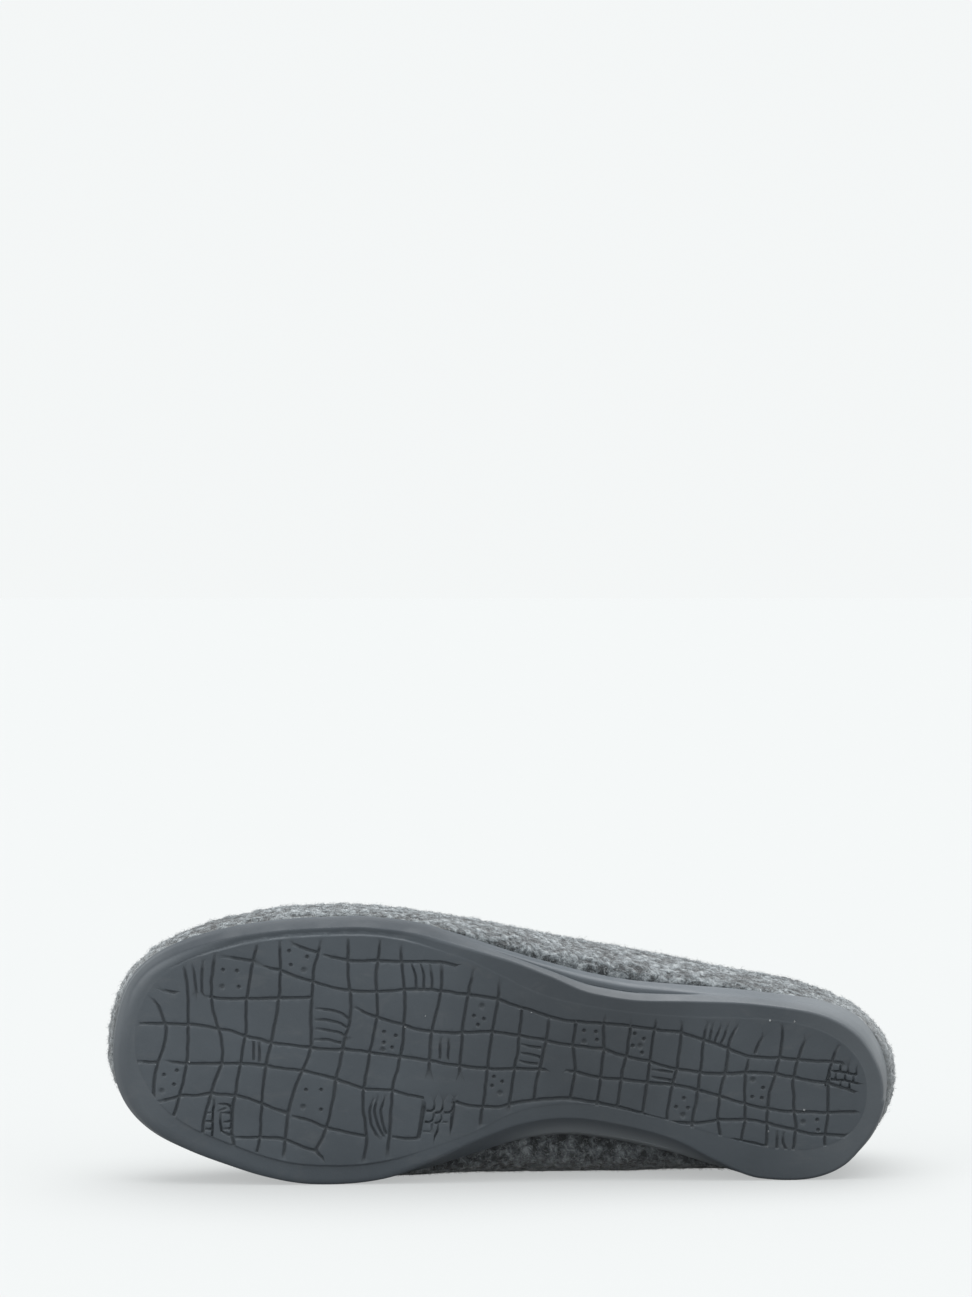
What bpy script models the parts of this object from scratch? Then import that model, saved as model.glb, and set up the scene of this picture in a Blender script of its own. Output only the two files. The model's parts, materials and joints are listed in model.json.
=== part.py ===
"""Left felt slipper with a moulded rubber sole, lying on its inner side.

The slipper is modelled standing, in the shoe's own axes: X from heel to toe, Y to the outer
side and Z up from the tread. The whole shoe is then laid on its inner side, where the edge of
the sole and the bulge of the upper both touch the floor.
"""

import math

import bmesh
import bpy
import numpy as np
from mathutils import Matrix, Vector

# Driving sizes, in metres
SOLE_LENGTH = 0.250
BALL_WIDTH = 0.0886
RIM_HEIGHT = 0.013
RIM_WALL = 0.0026
CUP_DEPTH = 0.0068
LIP_BEAD = 0.0022
SIDE_GROOVE = 0.0014
ARCH_TUCK = 0.0072
TREAD_EDGE = 0.0055
TOE_SPRING = 0.009
ARCH_LIFT = 0.0015
FELT_WALL = 0.0034
HEEL_BULGE = 0.0045
TOE_BULGE = 0.0050
BULGE_HEIGHT = 0.0275
THROAT_HEIGHT = 0.066
THROAT_REACH = 0.130
INSOLE_THICKNESS = 0.0035
GAP = 0.0003

# Where the ribs of the upper meet above the heel and the toes, in from each end of the sole
HEEL_FAN = 0.032
TOE_FAN = 0.018

# Weight of each piece's material in kg per cubic metre, which decides how the slipper lies
DENSITY = {"outsole": 1200.0, "upper": 300.0, "insole": 300.0}

# Steps of the mesh
COLLAR_STEPS = 30
VAMP_STEPS = 21
LOWER_ROWS = 4
UPPER_ROWS = 9
EDGE_ARC_STEPS = 3

# Plan of the sole: along is a share of the sole's length, the lip's two sides are shares of
# the ball width, and the tucks, from the lip in to the tread, are shares of the arch tuck.
SOLE_PLAN_COLUMNS = ("along", "lip_medial", "lip_lateral", "tuck_medial", "tuck_lateral")
SOLE_PLAN = (
    (0.000, 0.000, 0.000, 0.33, 0.33),
    (0.020, -0.182, 0.184, 0.30, 0.38),
    (0.050, -0.276, 0.270, 0.18, 0.36),
    (0.100, -0.333, 0.317, 0.08, 0.20),
    (0.160, -0.346, 0.328, 0.10, 0.15),
    (0.220, -0.324, 0.332, 0.40, 0.17),
    (0.280, -0.296, 0.331, 0.86, 0.26),
    (0.340, -0.272, 0.331, 0.96, 0.34),
    (0.400, -0.264, 0.343, 1.00, 0.22),
    (0.460, -0.288, 0.370, 0.94, 0.10),
    (0.520, -0.348, 0.405, 0.74, 0.07),
    (0.580, -0.415, 0.445, 0.43, 0.07),
    (0.640, -0.468, 0.477, 0.14, 0.07),
    (0.700, -0.501, 0.482, 0.07, 0.07),
    (0.750, -0.512, 0.468, 0.07, 0.07),
    (0.800, -0.500, 0.447, 0.07, 0.07),
    (0.850, -0.471, 0.413, 0.08, 0.08),
    (0.900, -0.434, 0.361, 0.10, 0.10),
    (0.940, -0.389, 0.299, 0.14, 0.14),
    (0.970, -0.324, 0.224, 0.17, 0.17),
    (0.990, -0.236, 0.128, 0.20, 0.20),
    (1.000, -0.076, -0.076, 0.20, 0.20),
)

# Heights of the sole: the bottom is split into a lift under the arch and a spring at the toe,
# rim and cup are shares of the rim height and the cup depth above that bottom.
SOLE_SIDE_COLUMNS = ("along", "arch_lift", "toe_spring", "rim", "cup", "groove")
SOLE_SIDE = (
    (0.00, 0.0, 0.00, 1.02, 1.30, 0.0),
    (0.06, 0.0, 0.00, 1.00, 1.30, 0.0),
    (0.24, 0.0, 0.00, 0.98, 1.28, 0.1),
    (0.32, 0.5, 0.00, 0.88, 1.14, 0.9),
    (0.40, 1.0, 0.00, 0.84, 1.06, 1.0),
    (0.48, 0.5, 0.00, 0.86, 1.08, 0.3),
    (0.55, 0.0, 0.00, 0.88, 1.10, 0.0),
    (0.74, 0.0, 0.00, 0.84, 1.06, 0.0),
    (0.84, 0.0, 0.13, 0.80, 1.00, 0.0),
    (0.92, 0.0, 0.44, 0.74, 0.90, 0.0),
    (1.00, 0.0, 1.00, 0.68, 0.80, 0.0),
)

# How round the tread's border is on each side, as a share of the widest round
BORDER_COLUMNS = ("along", "medial", "lateral")
BORDER = (
    (0.00, 0.30, 0.30),
    (0.06, 0.24, 0.24),
    (0.32, 0.20, 0.20),
    (0.40, 0.24, 0.24),
    (0.48, 0.34, 0.50),
    (0.55, 0.38, 0.80),
    (0.74, 0.44, 1.00),
    (0.84, 0.70, 1.00),
    (0.92, 1.00, 1.00),
    (1.00, 1.00, 1.00),
)

# Widest line of the felt: along is a share of the upper's length, the sides are shares of
# the ball width, and the height is a share of the bulge height.
BULGE_COLUMNS = ("along", "medial", "lateral", "height")
BULGE = (
    (0.000, 0.005, 0.005, 0.98),
    (0.020, -0.172, 0.182, 0.98),
    (0.050, -0.265, 0.258, 0.98),
    (0.100, -0.327, 0.311, 0.98),
    (0.160, -0.355, 0.340, 0.98),
    (0.220, -0.377, 0.358, 1.00),
    (0.280, -0.399, 0.374, 1.04),
    (0.340, -0.426, 0.390, 1.08),
    (0.400, -0.445, 0.408, 1.08),
    (0.460, -0.457, 0.429, 1.04),
    (0.520, -0.471, 0.455, 0.98),
    (0.580, -0.488, 0.477, 0.92),
    (0.640, -0.503, 0.487, 0.88),
    (0.700, -0.510, 0.490, 0.86),
    (0.750, -0.511, 0.479, 0.84),
    (0.800, -0.507, 0.454, 0.83),
    (0.850, -0.474, 0.414, 0.84),
    (0.900, -0.431, 0.360, 0.86),
    (0.940, -0.381, 0.293, 0.88),
    (0.970, -0.312, 0.214, 0.90),
    (0.990, -0.224, 0.120, 0.91),
    (1.000, -0.066, -0.066, 0.91),
)

# Profile over the top: along is a share of the sole's length. The crest is the last's top,
# open from the heel to the throat. Crest and topline are shares of the throat's height, the
# drift is the crest's shift to a side as a share of the ball width, and the roundness is the
# power of the arch across the shoe.
CREST_COLUMNS = ("along", "crest", "drift", "power")
CREST = (
    (0.00, 1.12, 0.000, 2.0),
    (0.13, 1.15, 0.000, 2.0),
    (0.20, 1.18, -0.004, 2.0),
    (0.28, 1.19, -0.010, 2.0),
    (0.36, 1.16, -0.018, 2.0),
    (0.44, 1.09, -0.024, 2.0),
    (0.52, 1.00, -0.030, 2.0),
    (0.60, 0.905, -0.038, 2.1),
    (0.70, 0.800, -0.048, 2.2),
    (0.80, 0.700, -0.055, 2.2),
    (0.88, 0.630, -0.060, 2.2),
    (0.93, 0.575, -0.060, 2.2),
    (1.00, 0.520, -0.060, 2.2),
)
TOPLINE_COLUMNS = ("along", "height")
TOPLINE = (
    (-0.04, 0.870),
    (0.04, 0.845),
    (0.12, 0.780),
    (0.20, 0.730),
    (0.28, 0.725),
    (0.36, 0.775),
    (0.42, 0.845),
    (0.48, 0.930),
    (0.52, 1.000),
)


def column(table, names, name):
    """One named column of a table, as an array."""
    return np.array([row[names.index(name)] for row in table], float)


def smooth(knots, values, at, turn=False):
    """A smooth curve through a table's rows, level where rows are level or turn back.

    With turn, it runs round the two ends of a plan.
    """
    knots, at = np.asarray(knots, float), np.asarray(at, float)
    if turn:
        knots = np.arccos(1 - 2 * knots)
        at = np.arccos(np.clip(1 - 2 * at, -1, 1))
    runs = np.diff(values) / np.diff(knots)
    slopes = np.gradient(values, knots)
    before, after = np.append(runs[0], runs), np.append(runs, runs[-1])
    limit = 3 * np.minimum(np.abs(before), np.abs(after))
    slopes = np.where(before * after > 0, np.clip(slopes, -limit, limit), 0.0)
    place = np.clip(np.searchsorted(knots, at) - 1, 0, len(knots) - 2)
    span = knots[place + 1] - knots[place]
    u = np.clip((at - knots[place]) / span, 0, 1)
    start, end = values[place], values[place + 1]
    first, last = slopes[place] * span, slopes[place + 1] * span
    return (
        start * (2 * u**3 - 3 * u**2 + 1)
        + first * (u**3 - 2 * u**2 + u)
        + end * (3 * u**2 - 2 * u**3)
        + last * (u**3 - u**2)
    )


def stations():
    """Shares from heel to toe: close together at the throat's collar side and at both ends."""
    throat = (THROAT_REACH + HEEL_BULGE) / (SOLE_LENGTH + HEEL_BULGE + TOE_BULGE)
    back = throat * (1 - np.cos(np.linspace(0, math.pi, COLLAR_STEPS + 1))) / 2
    front = throat + (1 - throat) * np.sin(np.linspace(0, math.pi / 2, VAMP_STEPS + 1))
    return np.concatenate([back, front[1:]])


def both_sides(lateral, medial):
    """Values round a plan: heel to toe on the outer side, then back on the inner side."""
    return np.concatenate([lateral, medial[-2:0:-1]])


def plan_ring(start, length, share, medial, lateral):
    """A closed plan outline as points (x, y), one for each rib."""
    x = both_sides(start + length * share, start + length * share)
    return np.stack([x, both_sides(lateral, medial)], axis=1)


def inset(ring, distance):
    """The ring moved inwards, square to itself."""
    run = np.roll(ring, -1, axis=0) - np.roll(ring, 1, axis=0)
    run /= np.linalg.norm(run, axis=1)[:, None]
    inward = np.stack([run[:, 1], -run[:, 0]], axis=1)
    return ring + inward * np.reshape(distance, (-1, 1))


def lifted(ring, height):
    """A plan ring raised to a height, one value or one for each point."""
    return np.column_stack([ring, np.broadcast_to(height, len(ring))])


def sole_side(name, x):
    """A column of the sole's side table at these distances from the heel."""
    values = column(SOLE_SIDE, SOLE_SIDE_COLUMNS, name)
    along = column(SOLE_SIDE, SOLE_SIDE_COLUMNS, "along")
    return smooth(along, values, np.asarray(x) / SOLE_LENGTH)


def tread_height(x):
    """Underside of the sole: flat at heel and forefoot, lifted at the arch and the toe."""
    return ARCH_LIFT * sole_side("arch_lift", x) + TOE_SPRING * sole_side("toe_spring", x)


def rim_height(x):
    """Top of the sole's rim."""
    return tread_height(x) + RIM_HEIGHT * sole_side("rim", x)


def cup_height(x):
    """Floor of the cup that holds upper and insole."""
    return rim_height(x) - CUP_DEPTH * sole_side("cup", x)


def lip_ring(share):
    """Outline of the sole's lip."""
    along = column(SOLE_PLAN, SOLE_PLAN_COLUMNS, "along")
    sides = [
        BALL_WIDTH * smooth(along, column(SOLE_PLAN, SOLE_PLAN_COLUMNS, side), share, True)
        for side in ("lip_medial", "lip_lateral")
    ]
    return plan_ring(0.0, SOLE_LENGTH, share, *sides)


def tuck_ring(share):
    """How far the tread's outline lies inside the lip, for each rib."""
    along = column(SOLE_PLAN, SOLE_PLAN_COLUMNS, "along")
    medial, lateral = (
        ARCH_TUCK * smooth(along, column(SOLE_PLAN, SOLE_PLAN_COLUMNS, side), share)
        for side in ("tuck_medial", "tuck_lateral")
    )
    return both_sides(lateral, medial)


def border_ring(share):
    """How round the tread's border is, for each rib."""
    along = column(BORDER, BORDER_COLUMNS, "along")
    medial, lateral = (
        TREAD_EDGE * smooth(along, column(BORDER, BORDER_COLUMNS, side), share)
        for side in ("medial", "lateral")
    )
    return both_sides(lateral, medial)


def sole_rows(share):
    """Rings of the sole from the tread's border, round the side and the rim, to the cup."""
    lip = lip_ring(share)
    tread = inset(lip, tuck_ring(share))
    x = lip[:, 0]
    bottom, rim = tread_height(x), rim_height(x)
    edge = border_ring(share)
    groove = SIDE_GROOVE * sole_side("groove", x)
    rows = []
    for turn in np.linspace(0, math.pi / 2, EDGE_ARC_STEPS + 1):
        ring = inset(tread, edge * (1 - math.sin(turn)))
        height = tread_height(ring[:, 0]) + edge * (1 - math.cos(turn)) * (rim - bottom) / RIM_HEIGHT
        rows.append(lifted(ring, height))
    bead = rim - LIP_BEAD
    waist = (bead + bottom + edge) / 2
    rows.append(lifted(inset(lip, tuck_ring(share) * 0.8 + groove * 0.5), waist))
    rows.append(lifted(inset(lip, tuck_ring(share) * 0.45 + groove), bead - LIP_BEAD * 0.4))
    rows.append(lifted(inset(lip, LIP_BEAD * 0.12), bead))
    rows.append(lifted(lip, rim - LIP_BEAD * 0.4))
    rows.append(lifted(inset(lip, LIP_BEAD * 0.3), rim))
    well = inset(lip, RIM_WALL)
    rows.append(lifted(well, rim))
    rows.append(lifted(well, cup_height(well[:, 0])))
    return rows


def foot_ring(share):
    """Where the felt stands in the cup, just inside the rim."""
    return inset(lip_ring(share), RIM_WALL + GAP)


def bulge_ring(share):
    """Widest line of the felt, as points (x, y, z)."""
    along = column(BULGE, BULGE_COLUMNS, "along")
    sides = [
        BALL_WIDTH * smooth(along, column(BULGE, BULGE_COLUMNS, side), share, True)
        for side in ("medial", "lateral")
    ]
    length = SOLE_LENGTH + HEEL_BULGE + TOE_BULGE
    ring = plan_ring(-HEEL_BULGE, length, share, *sides)
    height = BULGE_HEIGHT * smooth(along, column(BULGE, BULGE_COLUMNS, "height"), share)
    return lifted(ring, both_sides(height, height))


def crest_value(name, x):
    """A column of the crest table at these distances from the heel."""
    along = column(CREST, CREST_COLUMNS, "along")
    return smooth(along, column(CREST, CREST_COLUMNS, name), np.asarray(x) / SOLE_LENGTH)


def crest_points(share):
    """Where each rib would meet the crest of the last, as points (x, y, z)."""
    length = SOLE_LENGTH + HEEL_BULGE + TOE_BULGE
    x = -HEEL_BULGE + length * share
    heel_reach, toe_start = 0.30, 0.78
    heel_pull = np.clip(1 - share / heel_reach, 0, 1) ** 2
    toe_pull = np.clip((share - toe_start) / (1 - toe_start), 0, 1) ** 2
    x = x + (HEEL_FAN + HEEL_BULGE) * heel_pull - (TOE_FAN + TOE_BULGE) * toe_pull
    y = BALL_WIDTH * crest_value("drift", x)
    z = THROAT_HEIGHT * crest_value("crest", x)
    points = np.column_stack([x, y, z])
    return np.concatenate([points, points[-2:0:-1]])


def topline_height(x):
    """Height of the collar's edge seen from the side."""
    values = THROAT_HEIGHT * column(TOPLINE, TOPLINE_COLUMNS, "height")
    return smooth(column(TOPLINE, TOPLINE_COLUMNS, "along"), values, np.asarray(x) / SOLE_LENGTH)


def rib_points(bulge, crest, turns):
    """A point on each rib between the widest line, at turn 0, and the crest, at a quarter turn."""
    power = crest_value("power", crest[:, 0])
    reach = bulge[:, :2] - crest[:, :2]
    step = SOLE_LENGTH * 0.008
    rise = crest_value("crest", crest[:, 0] + step) - crest_value("crest", crest[:, 0] - step)
    fall = THROAT_HEIGHT * rise / (2 * step) * reach[:, 0]
    out = np.clip(np.cos(turns), 0, 1) ** (2 / power)
    up = np.clip(np.sin(turns), 0, 1) ** (2 / power)
    height = crest[:, 2] + fall * out - (crest[:, 2] + fall - bulge[:, 2]) * (1 - up)
    return np.column_stack([crest[:, :2] + out[:, None] * reach, height])


def rib_ends(bulge, crest):
    """The turn at which the collar's topline cuts each rib: a quarter turn on the closed vamp."""
    count = len(bulge)
    station = np.minimum(np.arange(count), count - np.arange(count))
    low, high = np.zeros(count), np.full(count, math.pi / 2)
    for _ in range(30):
        middle = (low + high) / 2
        points = rib_points(bulge, crest, middle)
        over = points[:, 2] > topline_height(points[:, 0])
        low, high = np.where(over, low, middle), np.where(over, middle, high)
    return np.where(station < COLLAR_STEPS, high, math.pi / 2)


def upper_faces(share):
    """Rows of the felt's outer face, from the cup's floor to the collar and the vamp's crest,
    and the outward direction at each point.
    """
    foot, bulge, crest = foot_ring(share), bulge_ring(share), crest_points(share)
    base, rim = cup_height(foot[:, 0]) + GAP, rim_height(foot[:, 0])
    rows = [lifted(foot, base), lifted(foot, rim)]
    for part in np.arange(1, LOWER_ROWS + 1) / LOWER_ROWS:
        swell = math.sin(part * math.pi / 2) ** 0.9
        climb = 1 - math.cos(part * math.pi / 2) ** 1.1
        ring = foot + (bulge[:, :2] - foot) * swell
        rows.append(lifted(ring, rim + (bulge[:, 2] - rim) * climb))
    around = [np.roll(row, -1, axis=0) - np.roll(row, 1, axis=0) for row in rows]
    upwards = list(np.gradient(np.array(rows), axis=0))
    ends, lean = rib_ends(bulge, crest), 0.02
    short = math.pi / 2 - ends
    power = np.clip(0.8 * math.pi / 2 / np.maximum(short, 0.01), 1, 4)
    for part in np.arange(1, UPPER_ROWS + 1) / UPPER_ROWS:
        turns = math.pi / 2 * part - short * part**power
        rows.append(rib_points(bulge, crest, turns))
        inner_turns = np.clip(turns, lean, math.pi / 2 - 3 * lean)
        after = rib_points(np.roll(bulge, -1, axis=0), np.roll(crest, -1, axis=0), inner_turns)
        before = rib_points(np.roll(bulge, 1, axis=0), np.roll(crest, 1, axis=0), inner_turns)
        around.append(after - before)
        over = rib_points(bulge, crest, inner_turns + lean)
        upwards.append(over - rib_points(bulge, crest, inner_turns - lean))
    normals = [np.cross(up, along) for up, along in zip(upwards, around)]
    normals = [n / np.linalg.norm(n, axis=1)[:, None] for n in normals]
    return rows, normals


def mesh_object(name, points, faces, material):
    """A mesh object from points and faces, with doubled points joined and faces turned out."""
    mesh = bpy.data.meshes.new(name)
    work = bmesh.new()
    verts = [work.verts.new(p) for p in points]
    for face in faces:
        corners = list(dict.fromkeys(face))
        if len(corners) > 2:
            work.faces.new([verts[i] for i in corners])
    bmesh.ops.remove_doubles(work, verts=work.verts, dist=1e-6)
    bmesh.ops.recalc_face_normals(work, faces=work.faces)
    work.to_mesh(mesh)
    work.free()
    mesh.materials.append(material)
    mesh.shade_smooth()
    mesh.set_sharp_from_angle(angle=math.radians(40))
    made = bpy.data.objects.new(name, mesh)
    bpy.context.scene.collection.objects.link(made)
    return made


def ring_faces(rows, count, offset=0):
    """Quads between rings of the same number of points."""
    return [
        (
            offset + row * count + k,
            offset + row * count + (k + 1) % count,
            offset + (row + 1) * count + (k + 1) % count,
            offset + (row + 1) * count + k,
        )
        for row in range(rows - 1)
        for k in range(count)
    ]


def ladder_faces(count, offset):
    """Quads straight across a ring, from its outer side to its inner side."""
    half = count // 2
    return [
        (offset + k, offset + k + 1, offset + (count - k - 1) % count, offset + (count - k) % count)
        for k in range(half)
    ]


def closed_rings(name, rows, material):
    """A solid from rings, closed across its first and its last ring."""
    count = len(rows[0])
    faces = ring_faces(len(rows), count)
    faces += ladder_faces(count, 0) + ladder_faces(count, (len(rows) - 1) * count)
    return mesh_object(name, np.concatenate(rows), faces, material)


def make_upper(share, material):
    """The felt upper: one wall, open at the collar and underneath."""
    outer, normals = upper_faces(share)
    count = len(outer[0])
    vamp = range(COLLAR_STEPS, count - COLLAR_STEPS + 1)
    for k in vamp:
        both = normals[-1][k] + normals[-1][count - k]
        normals[-1][k] = normals[-1][count - k] = both / np.linalg.norm(both)
    inner = [row - FELT_WALL * normal for row, normal in zip(outer, normals)]
    standing = inset(foot_ring(share), FELT_WALL)
    inner[0] = lifted(standing, outer[0][:, 2])
    inner[1] = lifted(standing, outer[1][:, 2])
    rows = outer + inner[::-1]
    rim_out, rim_in = len(outer) - 1, len(outer)
    points = np.concatenate(rows)
    faces = ring_faces(len(outer), count)
    faces += ring_faces(len(inner), count, rim_in * count)
    lowest = (len(rows) - 1) * count
    for k in range(count):
        after = (k + 1) % count
        faces.append((lowest + k, lowest + after, after, k))
        if k not in vamp or after not in vamp:
            edge, lining = rim_out * count, rim_in * count
            faces.append((edge + k, edge + after, lining + after, lining + k))
    return mesh_object("upper", points, faces, material)


def make_insole(share, material):
    """The insole: a plate that fills the cup inside the felt."""
    outline = inset(foot_ring(share), FELT_WALL + GAP)
    base = cup_height(outline[:, 0]) + GAP
    rows = [
        lifted(outline, base),
        lifted(outline, base + INSOLE_THICKNESS * 0.75),
        lifted(inset(outline, INSOLE_THICKNESS * 0.3), base + INSOLE_THICKNESS),
    ]
    return closed_rings("insole", rows, material)


def surface_material(name, colour, roughness):
    """A plain finish for one piece."""
    made = bpy.data.materials.new(name)
    made.use_nodes = True
    shader = made.node_tree.nodes["Principled BSDF"]
    shader.inputs["Base Color"].default_value = (*colour, 1.0)
    shader.inputs["Roughness"].default_value = roughness
    shader.inputs["Metallic"].default_value = 0.0
    return made


def balance_point(pieces):
    """Centre of the pieces' weights."""
    total, moment = 0.0, Vector((0, 0, 0))
    for piece in pieces:
        work = bmesh.new()
        work.from_mesh(piece.data)
        bmesh.ops.triangulate(work, faces=work.faces)
        for face in work.faces:
            a, b, c = (vert.co for vert in face.verts)
            weight = DENSITY[piece.name] * a.dot(b.cross(c)) / 6
            total += weight
            moment += (a + b + c) * (weight / 4)
        work.free()
    return moment / total


def inner_side_facing(pieces, centre):
    """The way that the hull's resting face on the inner side faces: the one that the balance
    point is furthest inside.
    """
    hull = bmesh.new()
    for piece in pieces:
        hull.from_mesh(piece.data)
    shell = bmesh.ops.convex_hull(hull, input=hull.verts, use_existing_faces=False)
    faces = [f for f in shell["geom"] if isinstance(f, bmesh.types.BMFace)]
    hull.normal_update()
    safest, facing = None, Vector((0, -1, 0))
    for face in faces:
        middle = face.calc_center_median()
        normal = face.normal.copy() if face.normal.dot(middle - centre) > 0 else -face.normal
        if normal.y > -0.8:
            continue
        foot = centre + normal * normal.dot(face.verts[0].co - centre)
        inside = []
        corners = [v.co for v in face.verts]
        for a, b in zip(corners, corners[1:] + corners[:1]):
            across = (b - a).cross(normal).normalized()
            inside.append((foot - a).dot(across if across.dot(middle - a) > 0 else -across))
        if safest is None or min(inside) > safest:
            safest, facing = min(inside), normal
    hull.free()
    return facing


def lying_pose(pieces):
    """The move that lays the slipper on its inner side, sole towards -Y and toe towards -X."""
    down = inner_side_facing(pieces, balance_point(pieces))
    up = -down
    toe = Vector((1, 0, 0))
    left = -(toe - up * toe.dot(up)).normalized()
    back = up.cross(left)
    turn = Matrix((left, back, up)).to_4x4()
    corners = [turn @ v.co for piece in pieces for v in piece.data.vertices]
    low = [min(c[i] for c in corners) for i in range(3)]
    high = [max(c[i] for c in corners) for i in range(3)]
    shift = Vector((-(low[0] + high[0]) / 2, -(low[1] + high[1]) / 2, -low[2]))
    return Matrix.Translation(shift) @ turn


def main():
    for old in list(bpy.data.objects):
        bpy.data.objects.remove(old)
    rubber = surface_material("slate_rubber", (0.075, 0.087, 0.102), 0.62)
    felt = surface_material("grey_felt", (0.235, 0.255, 0.270), 0.95)
    lining = surface_material("insole_felt", (0.16, 0.17, 0.18), 0.95)
    share = stations()
    outsole = closed_rings("outsole", sole_rows(share), rubber)
    upper = make_upper(share, felt)
    insole = make_insole(share, lining)
    pieces = (outsole, upper, insole)
    pose = lying_pose(pieces)
    slipper = bpy.data.objects.new("slipper_on_its_side", None)
    bpy.context.scene.collection.objects.link(slipper)
    slipper.matrix_world = pose
    for piece in pieces:
        piece.parent = slipper


main()
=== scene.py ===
"""Felt slipper on a moulded rubber sole, lying on its inner side, as it is put together."""

import json
import math

import bmesh
import bpy
import numpy as np
from mathutils import Matrix, Vector, noise
from mathutils.geometry import delaunay_2d_cdt
from mathutils.kdtree import KDTree


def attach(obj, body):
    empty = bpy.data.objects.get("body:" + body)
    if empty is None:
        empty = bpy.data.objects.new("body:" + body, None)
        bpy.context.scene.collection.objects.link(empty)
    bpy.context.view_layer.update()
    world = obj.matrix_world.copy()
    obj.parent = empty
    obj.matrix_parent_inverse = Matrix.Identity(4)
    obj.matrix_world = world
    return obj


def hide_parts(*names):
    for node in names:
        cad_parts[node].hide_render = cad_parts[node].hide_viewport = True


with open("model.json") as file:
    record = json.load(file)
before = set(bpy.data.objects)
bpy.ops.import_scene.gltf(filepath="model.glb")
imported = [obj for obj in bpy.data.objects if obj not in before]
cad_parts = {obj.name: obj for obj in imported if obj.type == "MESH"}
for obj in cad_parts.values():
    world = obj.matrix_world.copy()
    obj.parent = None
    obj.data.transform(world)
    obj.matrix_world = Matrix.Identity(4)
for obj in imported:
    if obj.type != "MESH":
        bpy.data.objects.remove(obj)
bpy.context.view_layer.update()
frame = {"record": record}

# The sole is one piece of slate-grey rubber, moulded as a shallow cup for the felt.
# Its side is smooth, with a scooped wall under a thin rib at the waist, and its tread is a
# patchwork of cells cut by narrow wavering grooves inside a plain border.
SOLE_LENGTH = 0.250
BALL_WIDTH = 0.0886
RIM_HEIGHT = 0.013
RIM_WALL = 0.0026
CUP_DEPTH = 0.0068
LIP_BEAD = 0.0022
SIDE_GROOVE = 0.0018
ARCH_TUCK = 0.0072
TREAD_EDGE = 0.0055
TOE_SPRING = 0.009
ARCH_LIFT = 0.0015
TOE_REACH = 0.0028
GAP = 0.0003

# along, lip on the inner and outer side, tuck on the inner and outer side
SOLE_PLAN = (
    (0.000, 0.000, 0.000, 0.33, 0.42),
    (0.020, -0.182, 0.184, 0.30, 0.50),
    (0.050, -0.276, 0.270, 0.18, 0.48),
    (0.100, -0.333, 0.317, 0.08, 0.31),
    (0.160, -0.346, 0.328, 0.10, 0.22),
    (0.220, -0.324, 0.332, 0.40, 0.25),
    (0.280, -0.296, 0.331, 0.86, 0.38),
    (0.340, -0.272, 0.331, 0.96, 0.56),
    (0.400, -0.264, 0.343, 1.00, 0.60),
    (0.460, -0.288, 0.370, 0.94, 0.30),
    (0.520, -0.348, 0.405, 0.74, 0.12),
    (0.580, -0.415, 0.445, 0.43, 0.17),
    (0.640, -0.468, 0.477, 0.14, 0.20),
    (0.700, -0.501, 0.482, 0.07, 0.20),
    (0.750, -0.512, 0.468, 0.07, 0.20),
    (0.800, -0.500, 0.447, 0.07, 0.20),
    (0.850, -0.471, 0.413, 0.08, 0.20),
    (0.900, -0.434, 0.361, 0.10, 0.20),
    (0.940, -0.389, 0.299, 0.14, 0.20),
    (0.970, -0.324, 0.224, 0.17, 0.17),
    (0.990, -0.236, 0.128, 0.20, 0.20),
    (1.000, -0.076, -0.076, 0.20, 0.20),
)
# along, arch lift, toe spring, rim, cup, side groove
SOLE_SIDE = (
    (0.00, 0.0, 0.00, 1.02, 1.30, 0.0),
    (0.06, 0.0, 0.00, 1.00, 1.30, 0.0),
    (0.24, 0.0, 0.00, 0.98, 1.28, 0.0),
    (0.32, 0.5, 0.00, 0.88, 1.14, 0.7),
    (0.40, 1.0, 0.00, 0.84, 1.06, 1.0),
    (0.48, 0.5, 0.00, 0.86, 1.08, 0.7),
    (0.55, 0.0, 0.00, 0.88, 1.10, 0.0),
    (0.74, 0.0, 0.00, 0.84, 1.06, 0.0),
    (0.84, 0.0, 0.13, 0.80, 1.00, 0.0),
    (0.92, 0.0, 0.44, 0.74, 0.90, 0.0),
    (1.00, 0.0, 1.00, 0.68, 0.80, 0.0),
)
# along, roundness of the tread's border on the inner and outer side
BORDER = (
    (0.00, 0.30, 0.26),
    (0.06, 0.24, 0.22),
    (0.32, 0.20, 0.15),
    (0.40, 0.24, 0.15),
    (0.48, 0.34, 0.18),
    (0.55, 0.38, 0.24),
    (0.64, 0.40, 0.30),
    (0.74, 0.44, 0.31),
    (0.84, 0.60, 0.36),
    (0.92, 0.70, 0.52),
    (1.00, 0.74, 0.74),
)
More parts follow.
